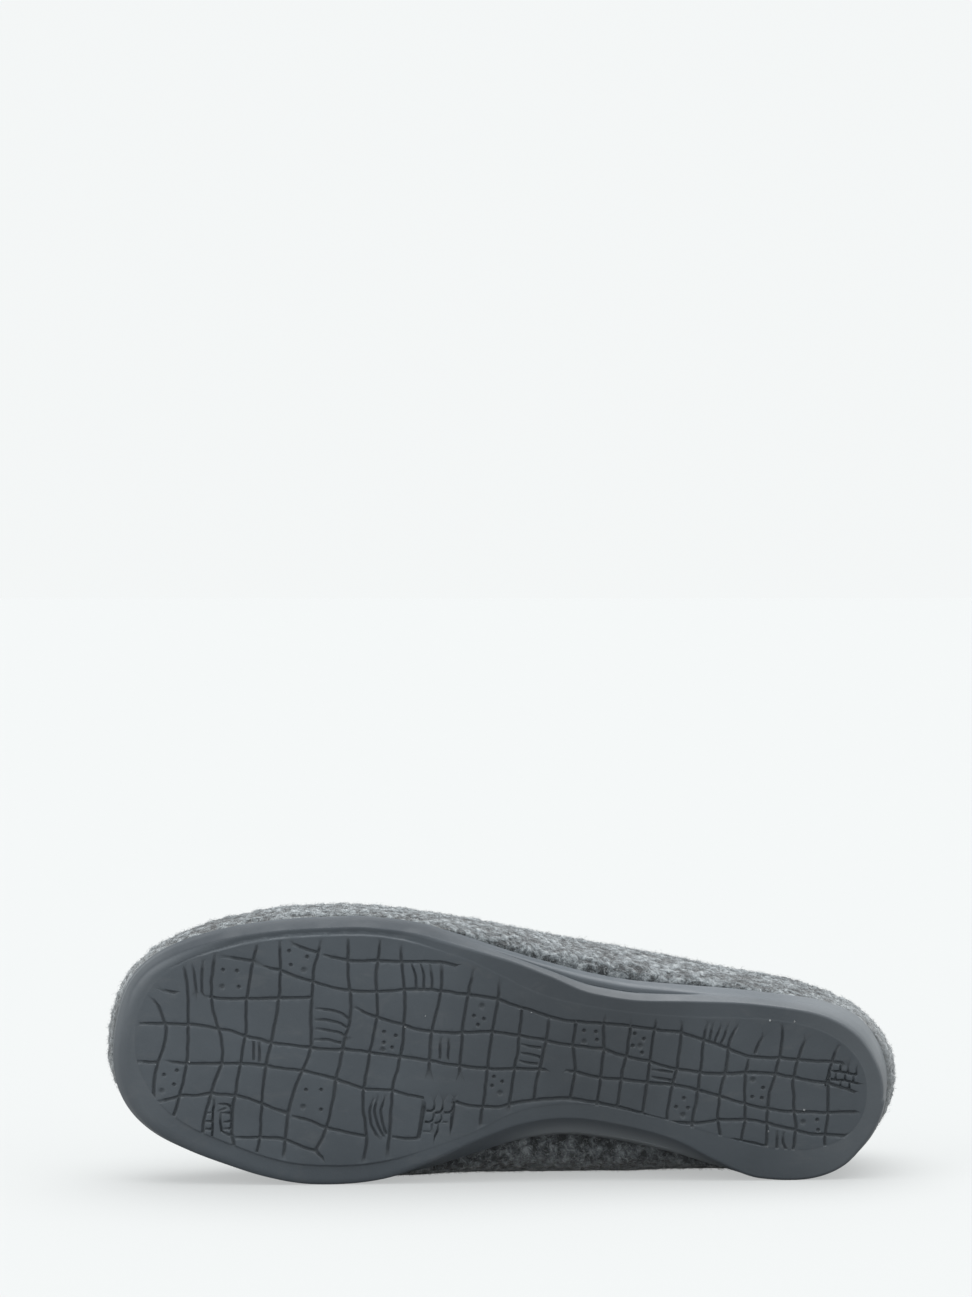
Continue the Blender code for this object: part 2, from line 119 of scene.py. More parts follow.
# The tread's cuts, drawn in millimetres from the heel and from the middle line.
CROSS_CUTS = (
    ((241.1, 9.9), (238.9, 7.6), (237.4, 4.5), (236.1, 1.4), (236.2, -4.2), (237.1, -8.6),
     (237.8, -12), (238.2, -17.7), (237.7, -22.9)),
    ((232.2, 21.7), (230.7, 16.3), (229.9, 11.5), (229, 1.8), (228.4, -8), (228.8, -14), (229.4, -18),
     (230, -22.1), (231.1, -27.5)),
    ((222.6, 27.2), (223, 21.6), (222.8, 15.7), (221.9, 9.9), (220.2, 5.2), (218.4, 0.5), (217.4, -4),
     (217.3, -8), (218.5, -12.7), (219.4, -16.8), (220, -20.2), (220.9, -24.6), (221.2, -28.6),
     (221.1, -32.5)),
    ((209.7, 31.7), (210.3, 27.7), (210.8, 23), (211, 18.8), (211.3, 14.5), (211.1, 8.9), (210.5, 3.4),
     (211, -1.9), (211.2, -6.5), (211.8, -13.2), (212, -17.8), (212.3, -21.8), (212.1, -27.4),
     (211.7, -31.3), (210.8, -34.2)),
    ((202.6, 33.7), (201.8, 26.3), (201.2, 19.8), (201.2, 13.2), (201.6, 7.6), (202, 1.7),
     (202.6, -2.4), (203.1, -6.7), (203.3, -11.6), (203.3, -18.2), (203, -24.8), (202.8, -30.7),
     (203.3, -35.4)),
    ((189.6, 35), (190.1, 30.7), (191, 26.4), (190.8, 21.8), (190.6, 15.9), (190.3, 9.4), (189.6, 2.9),
     (189.6, -0.4), (190.2, -4.4), (191.5, -7.8), (192.7, -11.9), (193.8, -16.6), (194.4, -20.6),
     (194.6, -25.6), (194.7, -30.6), (194.6, -35.5)),
    ((181.1, 36.5), (180.4, 30), (179.9, 25.1), (178.8, 19.7), (177.9, 14.5), (177.8, 9.9),
     (178.6, 5.6), (179.2, 1.3), (179.6, -4.4), (180.4, -9.4), (180.5, -14.3), (181, -19.3),
     (181.8, -24.7), (182.9, -29.4), (184.4, -33.5), (182.3, -35.3)),
    ((170.8, 36.8), (170.9, 30.9), (170.9, 25), (170.1, 19.5), (169.4, 13), (169.7, 6.4), (170.4, 0.7),
     (170.6, -3.9), (171.1, -9.2), (171.1, -15.2), (170.3, -20.1), (169.2, -24.9), (168.5, -28.8),
     (168.9, -34.2)),
    ((164, 35.4), (163.1, 29.9), (161.8, 23.5), (160.8, 17), (160.5, 10.5), (160.2, 4.9), (160.5, 1.6),
     (161, -3.7), (161.8, -8.4), (161.9, -13.7), (161.7, -19.3), (161.4, -24.9), (161.5, -30.9)),
    ((150.7, 31.4), (149.8, 26.2), (149.8, 22.3), (150.2, 17), (151, 12.3), (151.4, 7), (151.1, 1.1),
     (151, -3.5)),
    ((151.9, -13.8), (151.7, -18.4), (151.9, -22.7), (152.2, -26.4)),
    ((140.2, 29.7), (140.7, 25.4), (141, 21.8), (141.2, 17.2), (141.6, 12.2), (141.4, 7.3),
     (141.2, 2.3), (141, -3.3)),
    ((142, -11.9), (141.9, -15.9), (141.8, -20.9)),
    ((131.4, 26.2), (131.2, 21.3), (131.6, 15.3), (132, 9.7), (132.1, 4.7), (132.2, -0.2),
     (132.3, -5.8), (132.3, -11.8), (132.5, -15.8), (132.8, -19.8)),
    ((123.3, 19.9), (123.1, 14.7), (123.2, 9.4), (123, 4.8), (123.5, 0.1), (123.7, -4.5),
     (123.8, -9.5), (124, -13.8)),
    ((114.2, 17.1), (114.1, 12.8), (114.3, 8.8), (114.8, 4.5), (115.3, -0.5), (116, -5.6),
     (116.2, -9.9)),
    ((105.4, 16.8), (105.3, 12.8), (105.5, 8.5), (104.3, 3.6), (103.8, -1.3), (104.3, -5.6),
     (104.3, -9)),
    ((96.1, 18.3), (96, 13.6), (95.3, 7.8), (95.4, 2.8), (95.3, -1.5), (95.4, -6.2), (95.6, -11.2)),
    ((87.6, 17.1), (87.7, 11.8), (87.8, 6.8), (88.5, 1.8), (88.7, -2.2), (88.8, -7.2), (88.9, -12.2)),
    ((79.6, 18.6), (80, 13.2), (80.1, 7.6), (80.2, 2.6), (80.3, -2.4), (80.4, -7.4), (80.8, -12.4)),
    ((71.2, 18.7), (71, 13.5), (71.1, 8.5), (71.2, 4.2), (72, -0.6), (72.4, -5.9), (72.7, -11.6),
     (72.3, -15.9)),
    ((62.9, 19.6), (63.5, 16.2), (63.7, 12.5), (63.5, 7.6), (63.6, 2.6), (63.7, -1.7), (63.8, -7.1),
     (64.3, -11.8), (64, -17.1)),
    ((53.4, 19.4), (54.9, 15.7), (55.5, 11.6), (55.3, 7.7), (55.5, 3.7), (56.3, -1), (56.4, -5.7),
     (56.2, -11), (55.4, -14.9), (54.4, -18.2)),
    ((44.7, 17.2), (45.7, 14.8), (46.6, 11.4)),
    ((48.3, 9.3), (48.8, 4.9), (48.7, 0.6), (47.9, -6), (47.3, -10.9), (47.5, -14.9), (47.8, -18.3)),
    ((38.9, 21.1), (38.4, 16.5), (38.4, 11.5), (38.9, 7.1), (39.4, 3.1), (40.3, -1), (40.4, -5.6),
     (40.2, -10.3), (39.6, -15.2), (39.5, -19.2)),
    ((30.9, 17.1), (31.8, 13.7), (32.4, 10.4), (32.9, 6.3), (33.1, 2), (32.2, -2.9), (31.7, -6.9),
     (30.6, -11.1), (30.4, -15.4), (30.6, -19.5)),
    ((20, 16.1), (20.9, 12.7), (21.5, 9.7), (21.7, 5.3), (21.3, -0.3), (20.7, -5.9), (20.5, -10.2),
     (20.8, -13.6), (20.3, -17.5)),
)
LONG_CUTS = (
    ((198.4, 33.5), (195.1, 32.5), (190.2, 31.4)),
    ((188.2, 30.9), (180.4, 29.7), (171.2, 30.5), (163.2, 30.9), (155.9, 31.6), (149.4, 31.8),
     (145.8, 31.2)),
    ((219.5, 26.9), (214.7, 26.8), (209.9, 26.4)),
    ((207.5, 25.3), (201.3, 24.3), (196.1, 22.9), (190.8, 21.8), (185.3, 20.7), (179.1, 20),
     (174.3, 20.1), (169.8, 20.5), (165.4, 21.2), (161.3, 21.9), (154.9, 22.5), (150.1, 22.6),
     (145.3, 22.4), (141, 22.1), (135.5, 21.9), (131.2, 21.3), (127.2, 20.3), (123.2, 19.3),
     (118.6, 18.3), (114.2, 17.1), (109.9, 16.4), (105.3, 16.1), (100.8, 16.2), (95.9, 16.3),
     (91.7, 16.4), (87.8, 16.4), (83.6, 16.2), (79.7, 15.9), (75.5, 16), (70.9, 15.8), (67.6, 15.1),
     (63.9, 14.2), (59.9, 13.2), (55.5, 12), (52.1, 10.9), (48.8, 10.2), (43.2, 10.1), (38, 10.5),
     (31.8, 10.4), (26.9, 10.5), (21.3, 10.7), (18, 10.7)),
    ((238.2, 13.3), (234.3, 13.2)),
    ((224.6, 13.2), (218.2, 13.3), (211.2, 14.1), (205.5, 14.8), (199.2, 15.7), (190.6, 16.6)),
    ((244.5, 1.5), (238.1, 2.4), (229.2, 3.4), (224.4, 3.7), (219.8, 3.2), (215.6, 3.1), (211, 2),
     (206.8, 1.5), (202.3, 0.6), (196.1, 0.6), (189.1, 0.3), (183.9, 0.2), (179.1, 0.6), (174.6, 0.7),
     (170.4, 0.4), (165.6, 0.2), (160.4, -0), (155.8, -0.3), (151, -0.5), (146.1, -1.1), (140.9, -1.3),
     (136.3, -1.5), (132.1, -1.5), (123.4, -0.9), (113.7, -0.4)),
    ((106.8, -0.2), (103.9, -0.3), (98.9, -1.2), (95.3, -1.5), (91.7, -1.5), (88.5, -1.5),
     (84.3, -1.4), (80, -1.7), (76.1, -1.6), (71.9, -1.5), (68, -1.8), (64, -2.4), (60.3, -3.1),
     (56.7, -3.7), (52.3, -4.7), (47.9, -5.6), (43.9, -6.3), (40.3, -6.6), (36.3, -6.9), (32.1, -6.9),
     (26.5, -6.4), (20.6, -6.2), (16.1, -5.5), (11.9, -5.1)),
    ((176.7, 14.6), (173.3, 13.3), (169, 12), (164.4, 11.1), (160.1, 10.2), (155.8, 9.3), (151.3, 9),
     (146.1, 9.1), (141.3, 9.6), (136.6, 10.3), (132.1, 10.7), (127.5, 10.4), (122.9, 10.1),
     (118.7, 9.8), (114, 9.1), (109.7, 8.5), (105.1, 8.2), (99.9, 8), (95.3, 7.8), (91.3, 6.8),
     (87.4, 6.2), (83.4, 5.6), (79.8, 5.3), (75.5, 4.4), (71.2, 3.8), (66.9, 3.6), (63.3, 3.3),
     (58.8, 3.4), (54.9, 3.7), (49.1, 4.6), (44.2, 5), (39.3, 5.1), (36, 4.7), (32.7, 4.4),
     (27.1, 3.9), (21.4, 3.4), (16.7, 2.5), (12.7, 1.5)),
    ((244.3, -11), (238.2, -10.4)),
    ((234.4, -9.5), (228.3, -9.3), (222.9, -8.6), (217.8, -8), (211.1, -7.2), (203.1, -7), (197, -7.4),
     (191.5, -7.5), (185.6, -8.2), (180.1, -9.4), (175.8, -10.3), (171.5, -11.6), (166.6, -11.5),
     (161.8, -11.4), (156.9, -12.3), (151.7, -12.8)),
    ((142.6, -12.7), (138.3, -13.9), (132.1, -14.1), (126.9, -13.7), (123.1, -12.4), (117.4, -11),
     (111, -9.8), (103.9, -9.3), (99.6, -9.6), (95.4, -9.8), (92.1, -10.2), (89.1, -10.5),
     (84.8, -11.1), (80.8, -12.1), (76.5, -13), (72.5, -13.6)),
    ((70.9, -13.7), (66.7, -13.7), (62.8, -13.3), (59.3, -12.6), (55.5, -11.6), (51.2, -11.2),
     (47.3, -10.9), (43.4, -10.9), (40.1, -11.3), (35.7, -12.2), (30.4, -12.8), (27.3, -13.5),
     (20.4, -13.5), (14.2, -13.3)),
    ((236.4, -23.1), (232, -21.4), (229.2, -20), (224.8, -19.4), (220.1, -18.2), (216.2, -18),
     (212, -17.8), (207.8, -18.4), (203.2, -19.5), (198.9, -20.8), (194.9, -21.7)),
    ((193.2, -22.8), (187.4, -23.6), (182, -25.4), (175.8, -26.2), (168.9, -27.2)),
    ((210.7, -31.6), (202.8, -30.7), (198.9, -30.4), (194.7, -30.6), (189.7, -32.1), (184.4, -33.5)),
    ((160.3, -26.5), (156.4, -26.8), (152.2, -26.4)),
    ((53.4, -18.4), (49.8, -17.8), (47.9, -18), (43.2, -18.5), (39.5, -19.2)),
)
PATCH_STROKES = (
    ((229.4, 22.4), (228.3, 18.3), (227.6, 14.4)),
    ((226.3, 24.4), (226.2, 19.2), (225.7, 14.3)),
    ((188.7, 13.2), (183.9, 13), (180.6, 12.3), (178.2, 10.9)),
    ((188.7, 9.6), (184.2, 9.7), (180.6, 9), (178.2, 7.6)),
    ((188.4, 6.6), (183.9, 6.4), (180, 5.8), (178.2, 4.6)),
    ((188.7, 3), (184.2, 3.4), (180, 2.8)),
    ((207.9, 0.7), (207.3, -5.5)),
    ((205.9, 0.6), (205.3, -5.6)),
    ((167.9, -14.6), (168.5, -18.9), (167.7, -23.1), (165.8, -26.3)),
    ((166.4, -14.1), (166.9, -18.1), (165.8, -22.6), (163.5, -26.4)),
    ((164.1, -13.9), (165, -17.9), (164.3, -21.8), (162.6, -25.7)),
    ((160.3, 30.9), (158.6, 27.1), (157.8, 22.6)),
    ((157.4, 30.8), (155.7, 27), (155.3, 22.8)),
    ((154.2, 30.8), (153.1, 26.6), (152.7, 22.7)),
    ((148.2, 7), (147.9, 0.8)),
    ((145.6, 6.9), (145.3, 0.7)),
    ((122, 7.2), (118.7, 6.8), (115.7, 6.7)),
    ((122, 4.5), (118.7, 4.1), (115.7, 3.7)),
    ((122.1, 1.9), (118.8, 1.5), (116.5, 1.3)),
    ((79.2, 2.7), (75.9, 2.7), (72.7, 2.7)),
    ((78.9, 0.3), (75.7, 0.2), (72.7, -0.1)),
    ((61.2, 19.4), (61.6, 16.7), (61.7, 14.7)),
    ((58.6, 19.3), (59.3, 16.6), (60, 13.9)),
    ((56.4, 19.5), (57, 16.5), (58, 13.7)),
    ((36.5, -13.6), (35.8, -19.9)),
    ((34.2, -13.8), (34.1, -17.4), (32.9, -19.6)),
)
BRICK_CUTS = (
    ((218.8, -20), (218.3, -21.6), (218.6, -23.6), (218.4, -25.9), (218.2, -29.2), (218.1, -32.1)),
    ((216.7, -21.2), (214.6, -20.9), (213, -21.6)),
    ((216.4, -23.2), (214.8, -22.3)),
    ((216.1, -24), (213.2, -23.8)),
    ((220.4, -24.6), (218.6, -24.3)),
    ((216, -24.1), (215.9, -26.9), (215.3, -29.8)),
    ((214.7, -26.8), (212.4, -26.4)),
    ((214.5, -29.1), (212.3, -28.8)),
    ((220.4, -27.4), (218.4, -27.1)),
    ((220.4, -29.9), (218.2, -29.7)),
    ((215.3, -30), (213.4, -30.7), (211.4, -31)),
    ((212.8, -21.6), (212.5, -24.2), (212.2, -28.9)),
    ((148.2, -13.6), (148, -15.1), (148.3, -16.7), (150.1, -17.1)),
    ((145.4, -13.4), (145.3, -15.4), (145.7, -17), (147.3, -17.4)),
    ((142.5, -13.6), (142, -15.2), (142.5, -16.7), (144.3, -17.1)),
    ((148.1, -17.6), (147.9, -19.2), (148.6, -20.5), (150.4, -20.7)),
    ((145.5, -17.7), (145.3, -19.3), (145.9, -20.4), (147, -20.7)),
    ((142.3, -17.3), (142, -19.6), (141.9, -22)),
    ((144.6, -20.3), (143.8, -20.2)),
    ((148.1, -21.1), (148, -22.9)),
    ((146.1, -20.9), (146.1, -22.9), (146.8, -24.9)),
    ((150.7, -23.8), (148.8, -23.8)),
    ((151.2, -14.4), (151.1, -17), (151.4, -20.4), (151.8, -26)),
    ((21.6, 10.2), (21.8, 7.7), (22.3, 5), (22.5, 2.6)),
    ((21.8, 7.7), (17.7, 7.7), (13, 7.3)),
    ((22.3, 5), (17.3, 5), (12.2, 4.4)),
    ((18.5, 10.4), (18.3, 7.7)),
    ((15.8, 10), (15.6, 7.5)),
    ((13.1, 9.4), (12.9, 7.3)),
    ((19.6, 7.6), (19.5, 5)),
    ((16.6, 7.6), (16.4, 4.9)),
    ((13.9, 7.4), (13.6, 4.6)),
    ((17.8, 4.9), (17.7, 2.4)),
    ((14.9, 4.8), (14.6, 2)),
)
SMALL_PITS = (
    (219.7, 22.6), (215.3, 22.8), (214.2, 17.7), (199.4, 31.1), (193.5, 29.7), (198.4, 26.6),
    (166.6, 7.6), (162.7, 6.7), (166.3, 4.1), (163.5, 2.7), (160.3, 2.6), (138.4, 15.4), (135.1, 14.7),
    (136.8, 12.6), (235.3, -14), (231.3, -12), (231.8, -16.7), (189.6, -13.6), (184.8, -13.1),
    (184.2, -19.6), (102.4, 13.4), (98.5, 13.4), (97.9, 10.8), (86, 14), (82.9, 12.6), (86.2, 10),
    (83, 8), (130.2, -7), (127.1, -5.4), (129.9, -4), (42.7, 0.2), (45.9, -3.1), (42.7, -3.2),
    (70.1, -8.7), (66.2, -8.6), (67.9, -5.5), (23.9, -8.8), (23.2, -12.1),
)
WIDE_PITS = (
    (219.5, 17.1), (194.1, 25.4), (166.4, 1.7), (136.2, 18.9), (235.5, -19.3), (190, -19.2),
    (102, 9.8), (83.9, 10.2), (127.4, -9.1), (46.3, 2.5), (67.6, -11.1), (28.4, -9.9),
)
# The raised tread inside its plain border, from the outer side of the toe round the heel
PANEL_EDGE = (
    (246.0, 0.5), (244.6, 8.5), (240.6, 16.4), (234.6, 22.2), (227.9, 26.3), (222.2, 28.6),
    (216.6, 30.9), (207.1, 33.9), (197.4, 35.9), (184.5, 37.7), (171.5, 38.6), (161.6, 37.8),
    (151.6, 35.7), (141.6, 33.3), (134.9, 30.8), (128.1, 28.2), (121.3, 25.4), (111.3, 22.9),
    (101.3, 21.6), (88.2, 20.9), (75.1, 21.1), (62.1, 21.8), (49.1, 22.7), (36.0, 22.5),
    (26.0, 20.6), (17.0, 16.2), (11.0, 9.5), (8.8, 2.0), (9.4, -6.0), (13.6, -13.0),
    (21.6, -17.6), (32.3, -19.4), (45.5, -18.3), (58.8, -15.9), (68.8, -13.9), (78.8, -12.3),
    (88.8, -11.2), (100.2, -10.6), (111.5, -12.0), (121.1, -14.9), (127.3, -18.2),
    (133.5, -22.2), (142.9, -26.8), (152.3, -31.1), (161.8, -34.7), (171.4, -36.9),
    (181.1, -37.9), (190.9, -38.1), (200.9, -36.7), (210.9, -34.2), (216.6, -32.7),
    (226.8, -29.2), (236.2, -23.2), (242.4, -15.2), (245.5, -7.0),
)
# Sizes of the tread, in millimetres
PANEL_STEP = 0.55
STEP_HALF = 0.21
CUT_WIDTH = 1.26
CUT_DEPTH = 0.68
STROKE_STEP = 1.3
WAVER = 0.22
CLEAR_OF_EDGE = 0.8
EDGE_BAND = 0.7
FILL_ALONG = 3.4
FILL_ACROSS = 3.0
# Lines of mesh that run along the panel's edge, in millimetres outwards, and along a cut, in
# shares of its width
PANEL_LINES = (-0.55, -STEP_HALF, 0.0, STEP_HALF, 0.6)
CUT_LINES = (-0.62, -0.40, -0.14, 0.14, 0.40, 0.62)
# radius and depth of the pits, and shares of the full width and depth for the finer cuts
SMALL_PIT = (0.78, 0.62)
WIDE_PIT = (1.15, 0.46)
PATCH_SHARE = (0.86, 0.92)
BRICK_SHARE = (0.74, 1.15)
RIB_STEPS = 170

# Where the heel's mark stands on the sole, from its back edge and from its middle line
HEEL_MARK_ALONG = 0.034
HEEL_MARK_ACROSS = -0.001
mounts = {m["name"]: m for m in frame["record"]["mounts"]}
heel_mark = Vector(mounts["heel_rest"]["pos_m"])
ball_mark = Vector(mounts["forefoot_rest"]["pos_m"])
shoe_up = -Vector(mounts["heel_rest"]["axis"]).normalized()
shoe_toe = (ball_mark - heel_mark)
shoe_toe = (shoe_toe - shoe_up * shoe_toe.dot(shoe_up)).normalized()
shoe_out = shoe_up.cross(shoe_toe)
LYING = Matrix((shoe_toe, shoe_out, shoe_up)).transposed().to_4x4()
LYING.translation = heel_mark - shoe_toe * HEEL_MARK_ALONG - shoe_out * HEEL_MARK_ACROSS


def column(table, place):
    """One column of a table, as an array."""
    return np.array([row[place] for row in table], float)


def eased(share):
    """A share from 0 to 1, eased at both ends."""
    return share * share * (3 - 2 * share)


def between(u, start, start_run, end, end_run):
    """The smooth curve between two knots, from their values and their runs."""
    return (
        start * (2 * u**3 - 3 * u**2 + 1)
        + start_run * (u**3 - 2 * u**2 + u)
        + end * (3 * u**2 - 2 * u**3)
        + end_run * (u**3 - u**2)
    )


def smooth(knots, values, at, turn=False):
    """A smooth curve through a table's rows, level where rows are level or turn back."""
    knots, at = np.asarray(knots, float), np.asarray(at, float)
    if turn:
        knots = np.arccos(1 - 2 * knots)
        at = np.arccos(np.clip(1 - 2 * at, -1, 1))
    runs = np.diff(values) / np.diff(knots)
    slopes = np.gradient(values, knots)
    before, after = np.append(runs[0], runs), np.append(runs, runs[-1])
    limit = 3 * np.minimum(np.abs(before), np.abs(after))
    slopes = np.where(before * after > 0, np.clip(slopes, -limit, limit), 0.0)
    place = np.clip(np.searchsorted(knots, at) - 1, 0, len(knots) - 2)
    span = knots[place + 1] - knots[place]
    u = np.clip((at - knots[place]) / span, 0, 1)
    start_run, end_run = slopes[place] * span, slopes[place + 1] * span
    return between(u, values[place], start_run, values[place + 1], end_run)


def both_sides(lateral, medial):
    """Values round a plan: heel to toe on the outer side, then back on the inner side."""
    return np.concatenate([lateral, medial[-2:0:-1]])


def inset(ring, distance):
    """A plan ring moved inwards, square to itself."""
    run = np.roll(ring, -1, axis=0) - np.roll(ring, 1, axis=0)
    run /= np.linalg.norm(run, axis=1)[:, None]
    inward = np.stack([run[:, 1], -run[:, 0]], axis=1)
    return ring + inward * np.reshape(distance, (-1, 1))


def lifted(ring, height):
    """A plan ring raised to a height, one value or one for each point."""
    return np.column_stack([ring, np.broadcast_to(height, len(ring))])


def sole_side(place, x):
    """A column of the sole's side table at these distances from the heel."""
    return smooth(column(SOLE_SIDE, 0), column(SOLE_SIDE, place), np.asarray(x) / SOLE_LENGTH)


def tread_height(x):
    return ARCH_LIFT * sole_side(1, x) + TOE_SPRING * sole_side(2, x)


def rim_height(x):
    return tread_height(x) + RIM_HEIGHT * sole_side(3, x)


def cup_height(x):
    return rim_height(x) - CUP_DEPTH * sole_side(4, x)


def lip_ring(share):
    """Outline of the sole's lip, for ribs at these shares of its length."""
    medial, lateral = (
        BALL_WIDTH * smooth(column(SOLE_PLAN, 0), column(SOLE_PLAN, side), share, True)
        for side in (1, 2)
    )
    x = SOLE_LENGTH * share
    reach = np.clip((share - 0.78) / 0.22, 0, 1)
    x = x + TOE_REACH * eased(reach)
    return np.stack([both_sides(x, x), both_sides(lateral, medial)], axis=1)


def side_values(table, medial, lateral, share):
    """Two columns of a table, one for each side, as values round the plan."""
    sides = [smooth(column(table, 0), column(table, place), share) for place in (lateral, medial)]
    return both_sides(*sides)


def foot_ring(share):
    """Where the felt stands in the cup, just inside the rim."""
    return inset(lip_ring(share), RIM_WALL + GAP)


def resampled(points, step, closed=False):
    """A drawn line as a smooth curve with points every so many millimetres."""
    points = np.array(points, float)
    if closed:
        points = np.vstack([points, points[:1]])
    run = np.concatenate([[0], np.cumsum(np.linalg.norm(np.diff(points, axis=0), axis=1))])
    count = max(2, int(round(run[-1] / step)) + 1)
    at = np.linspace(0, run[-1], count)
    if closed:
        wide = np.vstack([points[-3:-1], points, points[1:3]])
        length = run[-1]
        knots = np.concatenate([run[-3:-1] - length, run, run[1:3] + length])
    else:
        wide, knots = points, run
    if len(wide) < 3:
        line = np.stack([np.interp(at, knots, wide[:, i]) for i in (0, 1)], axis=1)
    else:
        slopes = np.gradient(wide, knots, axis=0)
        place = np.clip(np.searchsorted(knots, at, side="right") - 1, 0, len(knots) - 2)
        span = (knots[place + 1] - knots[place])[:, None]
        u = (at - knots[place])[:, None] / span
        start_run, end_run = slopes[place] * span, slopes[place + 1] * span
        line = between(u, wide[place], start_run, wide[place + 1], end_run)
    return line[:-1] if closed else line


def beside(line, distance, closed=False):
    """A line moved to one side of itself."""
    if closed:
        run = np.roll(line, -1, axis=0) - np.roll(line, 1, axis=0)
    else:
        run = np.gradient(line, axis=0)
    run = run / np.linalg.norm(run, axis=1)[:, None]
    return line + np.stack([-run[:, 1], run[:, 0]], axis=1) * distance


def distance_to(points, starts, ends):
    """Each point's distance to the nearest of many short segments, and which one that is."""
    best = np.full(len(points), 1e9)
    which = np.zeros(len(points), int)
    run = ends - starts
    square = np.maximum((run**2).sum(axis=1), 1e-12)
    for first in range(0, len(points), 400):
        part = points[first : first + 400]
        off = part[:, None] - starts[None]
        u = np.clip((off * run[None]).sum(axis=2) / square, 0, 1)
        gap = np.linalg.norm(off - u[:, :, None] * run[None], axis=2)
        near = gap.argmin(axis=1)
        best[first : first + 400] = gap[np.arange(len(part)), near]
        which[first : first + 400] = near
    return best, which


def within(points, loop):
    """Whether each point lies inside a closed line."""
    inside = np.zeros(len(points), bool)
    a, b = loop, np.roll(loop, -1, axis=0)
    for (ax, ay), (bx, by) in zip(a, b):
        crosses = (ay > points[:, 1]) != (by > points[:, 1])
        at = ax + (points[:, 1] - ay) / (by - ay if by != ay else 1e-12) * (bx - ax)
        inside ^= crosses & (points[:, 0] < at)
    return inside


def ring_faces(rows, count, offset=0):
    """Quads between rings of the same number of points."""
    return [
        (
            offset + row * count + k,
            offset + row * count + (k + 1) % count,
            offset + (row + 1) * count + (k + 1) % count,
            offset + (row + 1) * count + k,
        )
        for row in range(rows - 1)
        for k in range(count)
    ]


def cross_faces(first, count):
    """Quads from side to side that close a ring, whose points begin at a number."""
    return [
        (first + k, first + k + 1, first + (count - k - 1) % count, first + (count - k) % count)
        for k in range(count // 2)
    ]


def read_all(items, label, width=1, kind=float):
    """One property of all of a mesh's points, corners or faces, as an array."""
    values = np.zeros(len(items) * width, kind)
    items.foreach_get(label, values)
    return values.reshape(-1, width) if width > 1 else values


def shoe_piece(name, points, faces, marks=None, slots=None, crisp=False):
    """A mesh drawn in the shoe's own axes, laid down with it and riding on its body.

    Marks are named values at its points, for its material to read.
    """
    mesh = bpy.data.meshes.new(name)
    # Where a ring closes at its ends a face meets one point twice, and keeps it once.
    closed_up = [tuple(dict.fromkeys(face)) for face in faces]
    mesh.from_pydata([tuple(p) for p in np.asarray(points, float)], [], closed_up)
    for mark, values in (marks or {}).items():
        layer = mesh.attributes.new(mark, "FLOAT", "POINT")
        layer.data.foreach_set("value", np.asarray(values, np.float32))
    if slots is not None:
        mesh.polygons.foreach_set("material_index", slots)
    work = bmesh.new()
    work.from_mesh(mesh)
    bmesh.ops.remove_doubles(work, verts=work.verts, dist=2e-6)
    bmesh.ops.recalc_face_normals(work, faces=work.faces)
    work.to_mesh(mesh)
    work.free()
    mesh.transform(LYING)
    mesh.shade_smooth()
    if crisp:
        # Each point's direction leans to its widest faces, so flat faces stay flat to their edges.
        facing = read_all(mesh.polygons, "normal", 3)
        area = read_all(mesh.polygons, "area")
        totals = read_all(mesh.polygons, "loop_total", kind=int)
        pull = np.repeat(facing * (area**1.5)[:, None], totals, axis=0)
        lean = np.zeros((len(mesh.vertices), 3))
        np.add.at(lean, read_all(mesh.loops, "vertex_index", kind=int), pull)
        lean /= np.maximum(np.linalg.norm(lean, axis=1), 1e-20)[:, None]
        leaning = mesh.attributes.new("custom_normal", "FLOAT_VECTOR", "POINT")
        leaning.data.foreach_set("vector", lean.ravel().astype(np.float32))
        mesh.update()
    made = bpy.data.objects.new(name, mesh)
    bpy.context.scene.collection.objects.link(made)
    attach(made, "root")
    return made


def panel_share(along):
    """The share of the panel's step at these millimetres from the heel: it fades at both ends."""
    fade = np.clip((along - 150) / 16, 0, 1) * np.clip((238 - along) / 20, 0, 1)
    return 0.12 + 0.88 * fade


share = (1 - np.cos(np.linspace(0, math.pi, RIB_STEPS + 1))) / 2
lip = lip_ring(share)
tuck = ARCH_TUCK * side_values(SOLE_PLAN, 3, 4, share)
edge = TREAD_EDGE * side_values(BORDER, 1, 2, share)
groove = SIDE_GROOVE * sole_side(5, lip[:, 0])
tread_line = inset(lip, tuck)
bottom, rim = tread_height(lip[:, 0]), rim_height(lip[:, 0])
bead = rim - LIP_BEAD

# The wall from the tread's border up over the rim, first round the border, then as a smooth
# curve through the wall's heights, and last down into the cup. At the outer waist it runs in
# two slopes with a narrow scoop between them, and at the forefoot it is rounded all the way.
margin_step = PANEL_STEP / 1000 * panel_share(lip[:, 0] * 1000)
fore_wall = np.clip((lip[:, 0] / SOLE_LENGTH - 0.54) / 0.16, 0, 1)
round_wall = np.maximum(fore_wall, np.clip(-lip[:, 1] / 0.015, 0, 1))
scoop = np.where(lip[:, 1] > 0, sole_side(5, lip[:, 0]), 0)
tall = bead - bottom
first_depth = tuck * (0.60 - 0.22 * round_wall + 0.04 * scoop)
lean = np.arctan((tuck - first_depth) / (0.40 * (tall - edge)))
wall_rows = []
for part in np.linspace(0, 1, 9):
    turn = (math.pi / 2 - lean) * part
    ring = inset(tread_line, edge * (1 - np.sin(turn)))
    rise = edge * (1 - np.cos(turn)) * (rim - bottom) / RIM_HEIGHT
    plain = margin_step * math.cos(part * math.pi / 2) ** 2
    wall_rows.append(lifted(ring, tread_height(ring[:, 0]) + rise + plain))
arc_top = wall_rows[-1][:, 2]
